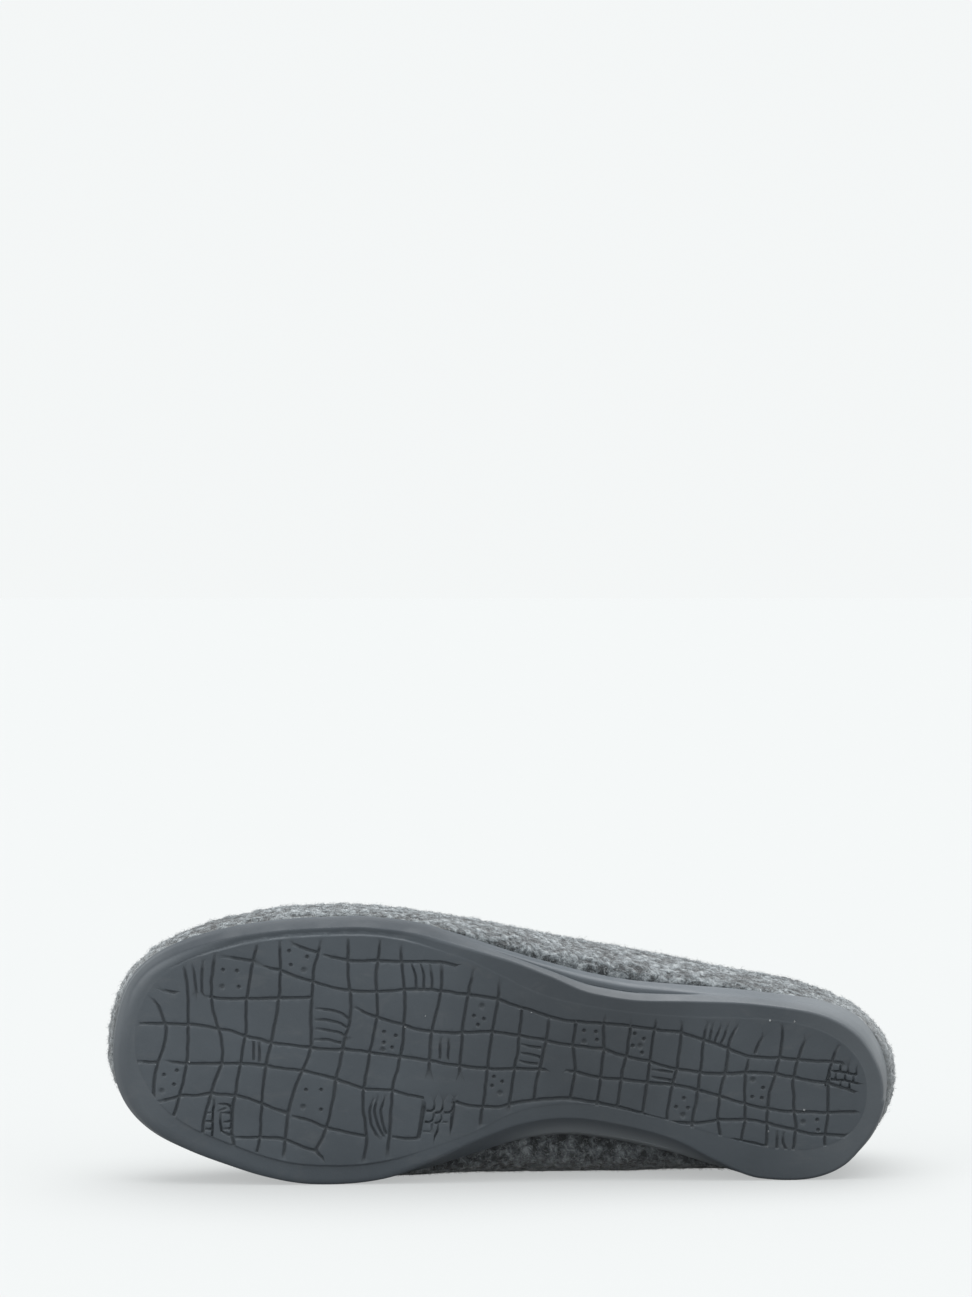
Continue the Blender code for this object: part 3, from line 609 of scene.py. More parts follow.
arc_depth = tuck + edge * (1 - np.sin(math.pi / 2 - lean))
tall = bead - arc_top
depths = np.array([
    arc_depth,
    first_depth,
    tuck * (0.50 - 0.22 * round_wall + 0.34 * scoop) + groove * (lip[:, 1] > 0),
    tuck * (0.40 - 0.20 * round_wall - 0.10 * scoop),
    np.full_like(tuck, LIP_BEAD * 0.12),
    np.zeros_like(tuck),
    np.full_like(tuck, LIP_BEAD * 0.30),
])
heights = np.array([
    arc_top, arc_top + tall * 0.40, arc_top + tall * 0.50, arc_top + tall * 0.60,
    bead, rim - LIP_BEAD * 0.4, rim,
])
for at in np.concatenate([np.linspace(0.25, 1, 4), np.linspace(1.2, 3, 10), np.linspace(3.25, 6, 12)]):
    place = min(int(at), 5)
    u = at - place
    around = [max(place - 1, 0), place, place + 1, min(place + 2, 6)]
    weights = (
        (-u + 2 * u**2 - u**3) / 2,
        (2 - 5 * u**2 + 3 * u**3) / 2,
        (u + 4 * u**2 - 3 * u**3) / 2,
        (-(u**2) + u**3) / 2,
    )
    depth = sum(w * depths[i] for w, i in zip(weights, around))
    height = sum(w * heights[i] for w, i in zip(weights, around))
    wall_rows.append(lifted(inset(lip, depth), height))
well = inset(lip, RIM_WALL)
for part in (0.35, 0.75, 1.0):
    wall_rows.append(lifted(inset(lip, LIP_BEAD * 0.3 + (RIM_WALL - LIP_BEAD * 0.3) * part), rim))
for part in (0.08, 0.5, 1.0):
    wall_rows.append(lifted(well, rim + (cup_height(well[:, 0]) - rim) * part))
rib_count = len(lip)
wall_points = np.concatenate(wall_rows)
wall_faces = ring_faces(len(wall_rows), rib_count)
wall_faces += cross_faces((len(wall_rows) - 1) * rib_count, rib_count)

# The tread: its border and every cut become edges of one flat net, whose points then sink by
# their distance to the nearest cut.
outline = wall_rows[0][:, :2] * 1000
panel = resampled(PANEL_EDGE, 1.6, closed=True)
clear = beside(outline, CLEAR_OF_EDGE, closed=True)
if not within(clear[:1], outline).all():
    clear = beside(outline, -CLEAR_OF_EDGE, closed=True)
net_points = [tuple(p) for p in outline]
net_edges = []


def add_line(line, closed=False):
    """Adds a line to the tread's net, in runs that keep clear of the outline."""
    keep = within(line, clear)
    first = len(net_points)
    net_points.extend(tuple(p) for p in line)
    for k in range(len(line) - (0 if closed else 1)):
        after = (k + 1) % len(line)
        if keep[k] and keep[after]:
            net_edges.append((first + k, first + after))


cut_starts, cut_ends, cut_width, cut_depth = [], [], [], []
strokes = [(line, 1.0, 1.0) for line in CROSS_CUTS + LONG_CUTS]
strokes += [(line, *PATCH_SHARE) for line in PATCH_STROKES]
strokes += [(line, *BRICK_SHARE) for line in BRICK_CUTS]
for drawn, wide, deep in strokes:
    line = resampled(drawn, STROKE_STEP)
    shake = np.array([
        (noise.noise((p[0] * 0.35, p[1] * 0.35, 3.0)), noise.noise((p[0] * 0.35, p[1] * 0.35, 9.0)))
        for p in line
    ])
    line = line + WAVER * shake
    span = len(line)
    swell = np.array([1 + 0.22 * noise.noise((p[0] * 0.12, p[1] * 0.12, 17.0)) for p in line])
    ends = np.minimum(np.arange(span), np.arange(span)[::-1]) * STROKE_STEP
    taper = np.clip(0.45 + ends / 2.2, 0, 1)
    width = CUT_WIDTH * wide * swell
    cut_starts.extend(line[:-1])
    cut_ends.extend(line[1:])
    cut_width.extend((width[:-1] + width[1:]) / 2)
    cut_depth.extend(CUT_DEPTH * deep * taper[:-1])
    for side in CUT_LINES:
        add_line(line + (beside(line, 1.0) - line) * (side * width)[:, None])
pits = [(p, *SMALL_PIT) for p in SMALL_PITS] + [(p, *WIDE_PIT) for p in WIDE_PITS]
turns = np.linspace(0, 2 * math.pi, 11)[:-1]
for (x, y), radius, _ in pits:
    for part in (1.15, 0.8, 0.4):
        reach = radius * part
        add_line(np.stack([x + reach * np.cos(turns), y + reach * np.sin(turns)], axis=1), closed=True)
for out in PANEL_LINES:
    add_line(beside(panel, out, closed=True), closed=True)
cut_starts, cut_ends = np.array(cut_starts), np.array(cut_ends)
cut_width, cut_depth = np.array(cut_width), np.array(cut_depth)

filler = np.array([
    (x + (FILL_ALONG / 2 if row % 2 else 0), y)
    for row, y in enumerate(np.arange(-46, 47, FILL_ACROSS))
    for x in np.arange(1, 250, FILL_ALONG)
])
filler = filler[within(filler, clear)]
reach, _ = distance_to(filler, cut_starts, cut_ends)
filler = filler[reach > 1.5]
net_points.extend(tuple(p) for p in filler)
net = delaunay_2d_cdt(
    [Vector(p) for p in net_points], net_edges, [list(range(rib_count))], 1, 1e-4, False
)
flat = np.array([tuple(p) for p in net[0]])
gap, nearest = distance_to(flat, cut_starts, cut_ends)
half_width = cut_width[nearest] / 2
sunk = np.clip((half_width * 1.24 - gap) / (half_width * 0.95), 0, 1)
sunk = eased(sunk) * cut_depth[nearest]
for (x, y), radius, deep in pits:
    off = np.hypot(flat[:, 0] - x, flat[:, 1] - y) / radius
    sunk = np.maximum(sunk, deep * eased(np.clip((1.15 - off) / 0.75, 0, 1)))
border_gap, _ = distance_to(flat, panel, np.roll(panel, -1, axis=0))
outside = np.where(within(flat, panel), -border_gap, border_gap)
step = eased(np.clip((outside + STEP_HALF) / (2 * STEP_HALF), 0, 1))
to_outline, _ = distance_to(flat, outline, np.roll(outline, -1, axis=0))
margin = PANEL_STEP * panel_share(flat[:, 0])
plain = np.where(to_outline > EDGE_BAND, step * margin, margin)
sunk = np.where(to_outline < 1e-3, 0, sunk)
tread_z = tread_height(flat[:, 0] / 1000) + (plain + sunk * (1 - step)) / 1000
tread_points = np.column_stack([flat / 1000, tread_z])
middles = np.array([flat[list(face)].mean(axis=0) for face in net[2]])
net_faces = [face for face, keep in zip(net[2], within(middles, outline)) if keep]
cut_mark = np.clip(sunk * (1 - step) / CUT_DEPTH, 0, 1)
sole_points = np.concatenate([wall_points, tread_points])
offset = len(wall_points)
sole_faces = wall_faces + [tuple(offset + i for i in face) for face in net_faces]
wall_mark = [(row[:, 2] - bottom) / (rim - bottom) for row in wall_rows]
marks = {
    "wall": np.concatenate([np.clip(np.concatenate(wall_mark), 0, 1), np.zeros(len(flat))]),
    "cut": np.concatenate([np.zeros(offset), cut_mark]),
    "panel": np.concatenate([np.zeros(offset), 1 - step]),
}
outsole = shoe_piece("rubber_outsole", sole_points, sole_faces, marks, crisp=True)
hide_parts("outsole")


def effect(name, takes, gives):
    """An empty shader group with named sockets, and its two ends."""
    group = bpy.data.node_groups.new(name, "ShaderNodeTree")
    for label, kind, value in takes:
        socket = group.interface.new_socket(name=label, in_out="INPUT", socket_type=kind)
        socket.default_value = value
    for label, kind in gives:
        group.interface.new_socket(name=label, in_out="OUTPUT", socket_type=kind)
    return group, group.nodes.new("NodeGroupInput"), group.nodes.new("NodeGroupOutput")


def put(tree, kind, **settings):
    """A node with its settings, and its sockets by name where they are given in a dict."""
    made = tree.nodes.new(kind)
    for label, value in settings.pop("sockets", {}).items():
        made.inputs[label].default_value = value
    for label, value in settings.items():
        setattr(made, label, value)
    return made


def noise_at(tree, scale, detail=3.0, rough=0.55, stretch=None, warp=0.0):
    """Noise in the shoe's own space, so many bumps to the metre."""
    place = put(tree, "ShaderNodeTexCoord").outputs["Object"]
    if stretch:
        mapping = put(tree, "ShaderNodeMapping", sockets={"Scale": stretch})
        tree.links.new(place, mapping.inputs["Vector"])
        place = mapping.outputs["Vector"]
    cloud = put(tree, "ShaderNodeTexNoise", sockets={
        "Detail": detail, "Roughness": rough, "Distortion": warp,
    })
    tree.links.new(place, cloud.inputs["Vector"])
    if isinstance(scale, (int, float)):
        cloud.inputs["Scale"].default_value = scale
    else:
        tree.links.new(scale, cloud.inputs["Scale"])
    return cloud.outputs["Fac"]


def spread(tree, value, low, high, to_low=0.0, to_high=1.0):
    """A value taken from one range to another, eased at both ends."""
    made = put(tree, "ShaderNodeMapRange", interpolation_type="SMOOTHSTEP", sockets={
        "From Min": low, "From Max": high, "To Min": to_low, "To Max": to_high,
    })
    tree.links.new(value, made.inputs["Value"])
    return made.outputs["Result"]


def figure(tree, operation, first, second):
    """One sum on two values, each a socket or a number."""
    made = put(tree, "ShaderNodeMath", operation=operation)
    for place, value in enumerate((first, second)):
        if isinstance(value, (int, float)):
            made.inputs[place].default_value = value
        else:
            tree.links.new(value, made.inputs[place])
    return made.outputs["Value"]


def blend(tree, amount, first, second):
    """Two colours mixed by an amount, each a socket or a colour."""
    made = put(tree, "ShaderNodeMix", data_type="RGBA")
    for place, value in ((0, amount), (6, first), (7, second)):
        if isinstance(value, (int, float)):
            made.inputs[place].default_value = value
        elif isinstance(value, tuple):
            made.inputs[place].default_value = (*value, 1.0)
        else:
            tree.links.new(value, made.inputs[place])
    return made.outputs[2]


def mark_on(tree, name):
    """A value marked on the mesh's points."""
    return put(tree, "ShaderNodeAttribute", attribute_name=name).outputs["Fac"]


def place_on(tree):
    """The place on the shoe as it lies: X from toe to heel, Z up from the floor."""
    split = put(tree, "ShaderNodeSeparateXYZ")
    tree.links.new(put(tree, "ShaderNodeTexCoord").outputs["Object"], split.inputs["Vector"])
    return split.outputs


# Two tones drifting into each other in soft clouds.
cloudy_tone, taken, given = effect(
    "cloudy_tone",
    [("Pale", "NodeSocketColor", (1, 1, 1, 1)), ("Deep", "NodeSocketColor", (0, 0, 0, 1)),
     ("Clouds", "NodeSocketFloat", 60.0)],
    [("Tone", "NodeSocketColor")],
)
share_pale = spread(cloudy_tone, noise_at(cloudy_tone, taken.outputs["Clouds"], 4.0, 0.6), 0.32, 0.68)
cloudy_tone.links.new(
    blend(cloudy_tone, share_pale, taken.outputs["Deep"], taken.outputs["Pale"]), given.inputs["Tone"]
)

# The close grain of a skin, from a coarse and a fine noise.
skin_grain, taken, given = effect(
    "skin_grain",
    [("Grain", "NodeSocketFloat", 2500.0), ("Coarse Grain", "NodeSocketFloat", 500.0)],
    [("Height", "NodeSocketFloat")],
)
fine = noise_at(skin_grain, taken.outputs["Grain"], 2.0)
coarse = noise_at(skin_grain, taken.outputs["Coarse Grain"], 2.0)
skin_grain.links.new(
    figure(skin_grain, "ADD", figure(skin_grain, "MULTIPLY", fine, 0.4), coarse), given.inputs["Height"]
)

# Pale dust lying in flecks, more of it where the clouds of dust are.
dust_flecks, taken, given = effect(
    "dust_flecks",
    [("Under", "NodeSocketColor", (0, 0, 0, 1)), ("Dust", "NodeSocketColor", (1, 1, 1, 1)),
     ("Flecks", "NodeSocketFloat", 900.0), ("Sparse", "NodeSocketFloat", 0.7)],
    [("Tone", "NodeSocketColor")],
)
fleck = noise_at(dust_flecks, taken.outputs["Flecks"], 2.0, 0.5)
patch = noise_at(dust_flecks, 45.0, 3.0, 0.6)
lifted_fleck = figure(dust_flecks, "ADD", fleck, figure(dust_flecks, "MULTIPLY", patch, 0.35))
over = figure(dust_flecks, "SUBTRACT", lifted_fleck, taken.outputs["Sparse"])
dusty = spread(dust_flecks, over, 0.0, 0.12)
dust_flecks.links.new(
    blend(dust_flecks, dusty, taken.outputs["Under"], taken.outputs["Dust"]), given.inputs["Tone"]
)


def finish(name, roughness, **plain):
    """A material with its shader, the shader's plain values set on its own sockets."""
    made = bpy.data.materials.new(name)
    made.use_nodes = True
    shader = made.node_tree.nodes["Principled BSDF"]
    shader.inputs["Roughness"].default_value = roughness
    for label, value in plain.items():
        shader.inputs[label.replace("_", " ")].default_value = value
    return made, made.node_tree, shader


def placed(tree, group, **values):
    """A shared effect set into a material with its own values."""
    made = put(tree, "ShaderNodeGroup", node_tree=group)
    for label, value in values.items():
        socket = made.inputs[label.replace("_", " ")]
        if isinstance(value, tuple):
            socket.default_value = (*value, 1.0)
        elif isinstance(value, (int, float)):
            socket.default_value = value
        else:
            tree.links.new(value, socket)
    return made


def bumped(tree, shader, height, depth, strength):
    """A bump of that depth in metres on the shader's normal."""
    bump = put(tree, "ShaderNodeBump", sockets={"Strength": strength, "Distance": depth})
    tree.links.new(height, bump.inputs["Height"])
    tree.links.new(bump.outputs["Normal"], shader.inputs["Normal"])


RUBBER_PALE = (0.0665, 0.0805, 0.094)
RUBBER_DEEP = (0.057, 0.069, 0.081)
SCUFF = (0.105, 0.113, 0.120)
# painted shade for the outer wall at the forefoot
WALL_SHADE = (0.009, 0.015, 0.022)
# painted light for the rims at toe and heel and the wall at the arch
PAINTED_LIGHT_TONE = (0.136, 0.150, 0.161)
# dirt and painted shade in the cuts
CUT_DIRT_AND_SHADE = (0.016, 0.019, 0.022)
DUST = (0.30, 0.31, 0.31)

rubber, tree, shader = finish("slate_rubber", 0.5, Specular_IOR_Level=0.48)
tone = placed(tree, cloudy_tone, Pale=RUBBER_PALE, Deep=RUBBER_DEEP, Clouds=26.0)
cut, panel_mark, wall = mark_on(tree, "cut"), mark_on(tree, "panel"), mark_on(tree, "wall")
place = place_on(tree)
scuffs = spread(tree, noise_at(tree, 70.0, 5.0, 0.65, stretch=(1.0, 1.0, 2.2), warp=0.6), 0.52, 0.74)
scuffed = blend(tree, figure(tree, "MULTIPLY", scuffs, 0.30), tone.outputs["Tone"], SCUFF)

# Painted shade: the waist of the tread, away from the toe, the heel end and the wall, is darkened the
# most.
fore = spread(tree, place["X"], 0.035, -0.045)
heel_end = spread(tree, place["X"], 0.030, 0.075, 0.0, 0.45)
up_wall = spread(tree, wall, 0.12, 0.5)
trodden_and_unshaded = figure(tree, "MAXIMUM", figure(tree, "MAXIMUM", fore, heel_end), up_wall)
wear_and_painted_light_tone = blend(tree, trodden_and_unshaded, blend(tree, 0.34, scuffed, (0.0, 0.0, 0.0)), scuffed)

# Painted shade: the outer wall at the forefoot is darkened, and it is made duller.
fore_wall = figure(tree, "MULTIPLY", spread(tree, wall, 0.0, 0.10),
                   spread(tree, place["X"], 0.010, -0.030))
fore_wall = figure(tree, "MULTIPLY", fore_wall, spread(tree, wall, 0.60, 1.0, 1.0, 0.60))
fore_wall = figure(tree, "MULTIPLY", fore_wall, spread(tree, place["Z"], 0.050, 0.076, 0.0, 0.76))
wear_and_painted_light_tone = blend(tree, fore_wall, wear_and_painted_light_tone, WALL_SHADE)

# Painted light: the rims at toe and heel and the wall at the arch are made paler.
ends = figure(tree, "ADD", spread(tree, place["X"], 0.080, 0.115),
              spread(tree, place["X"], -0.100, -0.122, 0.0, 0.6))
arch = figure(tree, "MULTIPLY", spread(tree, place["Z"], 0.036, 0.022),
              spread(tree, place["X"], -0.010, 0.015))
off_panel = figure(tree, "SUBTRACT", 1.0, panel_mark)
off_panel = figure(tree, "MAXIMUM", figure(tree, "MULTIPLY", off_panel, 0.40),
                   spread(tree, wall, 0.0, 0.3, 0.0, 1.15))
painted_light = figure(tree, "MAXIMUM", figure(tree, "MULTIPLY", ends, off_panel),
                figure(tree, "MULTIPLY", arch, spread(tree, wall, 0.0, 0.4, 0.0, 1.7)))
wear_and_painted_light_tone = blend(tree, figure(tree, "MULTIPLY", painted_light, 0.55), wear_and_painted_light_tone, PAINTED_LIGHT_TONE)

# The cuts are darkened, partly by dirt and partly by painted shade in their hollows.
in_cut = blend(tree, figure(tree, "MULTIPLY", cut, 0.52), wear_and_painted_light_tone, CUT_DIRT_AND_SHADE)
dusted = placed(tree, dust_flecks, Under=in_cut, Dust=DUST, Flecks=850.0, Sparse=0.985)
tree.links.new(dusted.outputs["Tone"], shader.inputs["Base Color"])
worn = figure(tree, "ADD", spread(tree, noise_at(tree, 110.0, 4.0), 0.3, 0.7, 0.38, 0.50),
              figure(tree, "MULTIPLY", cut, 0.25))
worn = figure(tree, "ADD", worn, figure(tree, "MULTIPLY", fore_wall, 0.32))
tree.links.new(worn, shader.inputs["Roughness"])
grain = placed(tree, skin_grain, Grain=3200.0, Coarse_Grain=620.0)
bumped(tree, shader, grain.outputs["Height"], 0.00007, 0.55)
outsole.data.materials.append(rubber)

# Lint: a few scraps of pale wool rubbed off the felt and caught on the rubber, each a tiny
# tangled ball that sits where it fell. Nothing fixes them but the rubber's roughness.
LINT_FLATNESS = 0.55
TANGLE_REACH = 0.00022
# along from the heel, across from the middle line, size, in millimetres
LINT_SPOTS = (
    (39.5, -13.9, 0.34), (28.9, -5.6, 0.42), (160.4, 10.2, 0.30), (153.3, 13.1, 0.30),
    (42.4, 22.6, 0.40), (34.7, 24.0, 0.34), (228.0, -9.0, 0.26), (120.5, 18.5, 0.26),
)

scraps = bmesh.new()
sole_tree = KDTree(len(outsole.data.vertices))
for index, vert in enumerate(outsole.data.vertices):
    sole_tree.insert(vert.co, index)
sole_tree.balance()
for number, (x, y, size) in enumerate(LINT_SPOTS):
    caught, _, _ = sole_tree.find(LYING @ Vector((x / 1000, y / 1000, 0.0)))
    ball = bmesh.ops.create_icosphere(scraps, subdivisions=3, radius=size / 1000)["verts"]
    for vert in ball:
        tangle = noise.noise_vector(vert.co * 3400 + Vector((number * 7, 0, 0)))
        flattened = Vector((vert.co.x, vert.co.y * LINT_FLATNESS, vert.co.z))
        vert.co = flattened * (0.8 + 0.5 * tangle.x) + tangle * TANGLE_REACH + caught
lint_mesh = bpy.data.meshes.new("lint")
scraps.to_mesh(lint_mesh)
scraps.free()
lint_mesh.shade_smooth()
lint = bpy.data.objects.new("lint", lint_mesh)
bpy.context.scene.collection.objects.link(lint)
lint_wool, tree, shader = finish("lint_wool", 0.95, Specular_IOR_Level=0.2)
tone = placed(tree, cloudy_tone, Pale=(0.42, 0.44, 0.45), Deep=(0.16, 0.17, 0.18), Clouds=2600.0)
tree.links.new(tone.outputs["Tone"], shader.inputs["Base Color"])
tangled = placed(tree, skin_grain, Grain=9000.0, Coarse_Grain=4200.0)
bumped(tree, shader, tangled.outputs["Height"], 0.0003, 0.9)
lint_mesh.materials.append(lint_wool)
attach(lint, "root")

# The upper is one thick grey felt wall with no seam, closed at the heel and over the toes, cut
# open at the top for the foot, and glued into the rubber cup. Its wool is a melange of pale and
# dark fibres, matted into small tufts, with loose hairs standing off it.
FELT_WALL = 0.0034
HEEL_BULGE = 0.0045
TOE_BULGE = 0.0050
BULGE_HEIGHT = 0.0275
THROAT_HEIGHT = 0.066
THROAT_REACH = 0.130
HEEL_FAN = 0.032
TOE_FAN = 0.018
COLLAR_STEPS = 100
VAMP_STEPS = 76
LOWER_ROWS = 12
UPPER_ROWS = 40

# along, widest line on the inner and outer side, its height
BULGE = (
    (0.000, 0.005, 0.005, 0.98),
    (0.020, -0.172, 0.182, 0.98),
    (0.050, -0.265, 0.258, 0.98),
    (0.100, -0.327, 0.311, 0.98),
    (0.160, -0.355, 0.340, 0.98),
    (0.220, -0.377, 0.358, 1.00),
    (0.280, -0.399, 0.374, 1.04),
    (0.340, -0.426, 0.390, 1.08),
    (0.400, -0.445, 0.408, 1.08),
    (0.460, -0.457, 0.429, 1.04),
    (0.520, -0.471, 0.455, 0.98),
    (0.580, -0.488, 0.477, 0.92),
    (0.640, -0.503, 0.487, 0.88),
    (0.700, -0.510, 0.490, 0.86),
    (0.750, -0.511, 0.479, 0.84),
    (0.800, -0.507, 0.454, 0.83),
    (0.850, -0.474, 0.414, 0.84),
    (0.900, -0.431, 0.360, 0.86),
    (0.940, -0.381, 0.293, 0.88),
    (0.970, -0.312, 0.214, 0.90),
    (0.990, -0.224, 0.120, 0.91),
    (1.000, -0.066, -0.066, 0.91),
)
# along, crest, its drift to a side, power of the arch
CREST = (
    (0.00, 1.12, 0.000, 2.0),
    (0.13, 1.15, 0.000, 2.0),
    (0.20, 1.18, -0.004, 2.0),
    (0.28, 1.19, -0.010, 2.0),
    (0.36, 1.16, -0.018, 2.0),
    (0.44, 1.09, -0.024, 2.0),
    (0.52, 1.00, -0.030, 2.0),
    (0.60, 0.905, -0.038, 2.1),
    (0.70, 0.800, -0.048, 2.2),
    (0.80, 0.700, -0.055, 2.2),
    (0.88, 0.630, -0.060, 2.2),
    (0.93, 0.575, -0.060, 2.2),
    (1.00, 0.520, -0.060, 2.2),
)
# along, height of the collar's edge
TOPLINE = (
    (-0.04, 0.870),
    (0.04, 0.845),
    (0.12, 0.780),
    (0.20, 0.730),
    (0.28, 0.725),
    (0.36, 0.775),
    (0.42, 0.845),
    (0.48, 0.930),
    (0.52, 1.000),
)


def crest_value(place, x):
    return smooth(column(CREST, 0), column(CREST, place), np.asarray(x) / SOLE_LENGTH)


def bulge_ring(share):
    """Widest line of the felt, as points (x, y, z)."""
    medial, lateral = (
        BALL_WIDTH * smooth(column(BULGE, 0), column(BULGE, side), share, True) for side in (1, 2)
    )
    length = SOLE_LENGTH + HEEL_BULGE + TOE_BULGE
    x = both_sides(-HEEL_BULGE + length * share, -HEEL_BULGE + length * share)
    height = BULGE_HEIGHT * smooth(column(BULGE, 0), column(BULGE, 3), share)
    return lifted(np.stack([x, both_sides(lateral, medial)], axis=1), both_sides(height, height))


def crest_points(share):
    """Where each rib would meet the crest of the last."""
    length = SOLE_LENGTH + HEEL_BULGE + TOE_BULGE
    x = -HEEL_BULGE + length * share
    heel_pull = np.clip(1 - share / 0.30, 0, 1) ** 2
    toe_pull = np.clip((share - 0.78) / 0.22, 0, 1) ** 2
    x = x + (HEEL_FAN + HEEL_BULGE) * heel_pull - (TOE_FAN + TOE_BULGE) * toe_pull
    points = np.column_stack([x, BALL_WIDTH * crest_value(2, x), THROAT_HEIGHT * crest_value(1, x)])
    return np.concatenate([points, points[-2:0:-1]])


def topline_height(x):
    values = THROAT_HEIGHT * column(TOPLINE, 1)
    return smooth(column(TOPLINE, 0), values, np.asarray(x) / SOLE_LENGTH)


def rib_points(bulge, crest, turns):
    """A point on each rib between the widest line, at turn 0, and the crest, a quarter turn on."""
    power = crest_value(3, crest[:, 0])
    reach = bulge[:, :2] - crest[:, :2]
    step = SOLE_LENGTH * 0.008
    rise = crest_value(1, crest[:, 0] + step) - crest_value(1, crest[:, 0] - step)
    fall = THROAT_HEIGHT * rise / (2 * step) * reach[:, 0]
    out = np.clip(np.cos(turns), 0, 1) ** (2 / power)
    up = np.clip(np.sin(turns), 0, 1) ** (2 / power)
    height = crest[:, 2] + fall * out - (crest[:, 2] + fall - bulge[:, 2]) * (1 - up)
    return np.column_stack([crest[:, :2] + out[:, None] * reach, height])


def rib_ends(bulge, crest):
    """The turn at which the collar's topline cuts each rib."""
    count = len(bulge)
    station = np.minimum(np.arange(count), count - np.arange(count))
    low, high = np.zeros(count), np.full(count, math.pi / 2)
    for _ in range(30):
        middle = (low + high) / 2
        points = rib_points(bulge, crest, middle)
        over = points[:, 2] > topline_height(points[:, 0])
        low, high = np.where(over, low, middle), np.where(over, middle, high)
    return np.where(station < COLLAR_STEPS, high, math.pi / 2)


def felt_rows(share):
    """Rows of the felt's outer face from the cup's floor to the collar, and their directions."""
    foot, bulge, crest = foot_ring(share), bulge_ring(share), crest_points(share)
    base, rim_top = cup_height(foot[:, 0]) + GAP, rim_height(foot[:, 0])
    rows = [lifted(foot, base), lifted(foot, rim_top)]
    for part in np.arange(1, LOWER_ROWS + 1) / LOWER_ROWS:
        swell = math.sin(part * math.pi / 2) ** 0.38
        climb = 1 - math.cos(part * math.pi / 2) ** 1.1
        ring = foot + (bulge[:, :2] - foot) * swell
        rows.append(lifted(ring, rim_top + (bulge[:, 2] - rim_top) * climb))
    around = [np.roll(row, -1, axis=0) - np.roll(row, 1, axis=0) for row in rows]
    upwards = list(np.gradient(np.array(rows), axis=0))
    ends, lean = rib_ends(bulge, crest), 0.02
    short = math.pi / 2 - ends
    power = np.clip(0.8 * math.pi / 2 / np.maximum(short, 0.01), 1, 4)
    for part in np.arange(1, UPPER_ROWS + 1) / UPPER_ROWS:
        turns = math.pi / 2 * part - short * part**power
        rows.append(rib_points(bulge, crest, turns))
        inner_turns = np.clip(turns, lean, math.pi / 2 - 3 * lean)
        after = rib_points(np.roll(bulge, -1, axis=0), np.roll(crest, -1, axis=0), inner_turns)
        before = rib_points(np.roll(bulge, 1, axis=0), np.roll(crest, 1, axis=0), inner_turns)
        around.append(after - before)
        over = rib_points(bulge, crest, inner_turns + lean)
        upwards.append(over - rib_points(bulge, crest, inner_turns - lean))
    normals = [np.cross(up, along) for up, along in zip(upwards, around)]
    return rows, [n / np.linalg.norm(n, axis=1)[:, None] for n in normals]


throat = (THROAT_REACH + HEEL_BULGE) / (SOLE_LENGTH + HEEL_BULGE + TOE_BULGE)
back = throat * (1 - np.cos(np.linspace(0, math.pi, COLLAR_STEPS + 1))) / 2
front = throat + (1 - throat) * np.sin(np.linspace(0, math.pi / 2, VAMP_STEPS + 1))
felt_share = np.concatenate([back, front[1:]])
outer, directions = felt_rows(felt_share)
felt_count = len(outer[0])
for k in range(COLLAR_STEPS, felt_count - COLLAR_STEPS + 1):
    both = directions[-1][k] + directions[-1][felt_count - k]
    directions[-1][k] = directions[-1][felt_count - k] = both / np.linalg.norm(both)


def felt_swell(points, floor):
    """How far hand-worked felt stands proud or lies back, faded out at the rubber."""
    soft = np.array([
        0.42 * noise.noise((p[0] * 38, p[1] * 38, p[2] * 38))
        + 0.30 * noise.noise((p[0] * 95 + 7, p[1] * 95, p[2] * 95))
        + 0.16 * noise.noise((p[0] * 260, p[1] * 260 + 3, p[2] * 260))
        for p in points
    ]) / 1000
    return soft * np.clip((points[:, 2] - floor) / 0.006, 0, 1)


rim_line = rim_height(foot_ring(felt_share)[:, 0])
lining = [row - FELT_WALL * way for row, way in zip(outer, directions)]
standing = inset(foot_ring(felt_share), FELT_WALL)
lining[0] = lifted(standing, outer[0][:, 2])
lining[1] = lifted(standing, outer[1][:, 2])
for level in range(2, len(outer)):
    proud = felt_swell(outer[level], rim_line)[:, None] * directions[level]
    if level == len(outer) - 1:
        for k in range(COLLAR_STEPS, felt_count - COLLAR_STEPS + 1):
            proud[felt_count - k] = proud[k]
    outer[level] = outer[level] + proud
    lining[level] = lining[level] + proud

# The cut edge of the collar is rounded over, away from the felt that it ends.
collar = [k % felt_count for k in range(-COLLAR_STEPS, COLLAR_STEPS + 1)]
edge_out, edge_in = outer[-1], lining[-1]
edge_rows = []
loop = outer[-1][collar]
along_edge = np.gradient(loop, axis=0)
along_edge[0] = along_edge[-1] = loop[1] - loop[-2]
along_edge /= np.linalg.norm(along_edge, axis=1)[:, None]
out_of_felt = np.cross(along_edge, directions[-1][collar])
out_of_felt /= np.linalg.norm(out_of_felt, axis=1)[:, None]
if out_of_felt[COLLAR_STEPS, 2] < 0:
    out_of_felt = -out_of_felt
middle = (edge_out + edge_in)[collar] / 2
half_wall = (edge_out - edge_in)[collar] / 2
for turn in np.linspace(0, math.pi, 8)[1:-1]:
    edge_rows.append(
        middle + half_wall * math.cos(turn) + out_of_felt * (FELT_WALL * 0.42 * math.sin(turn))
    )

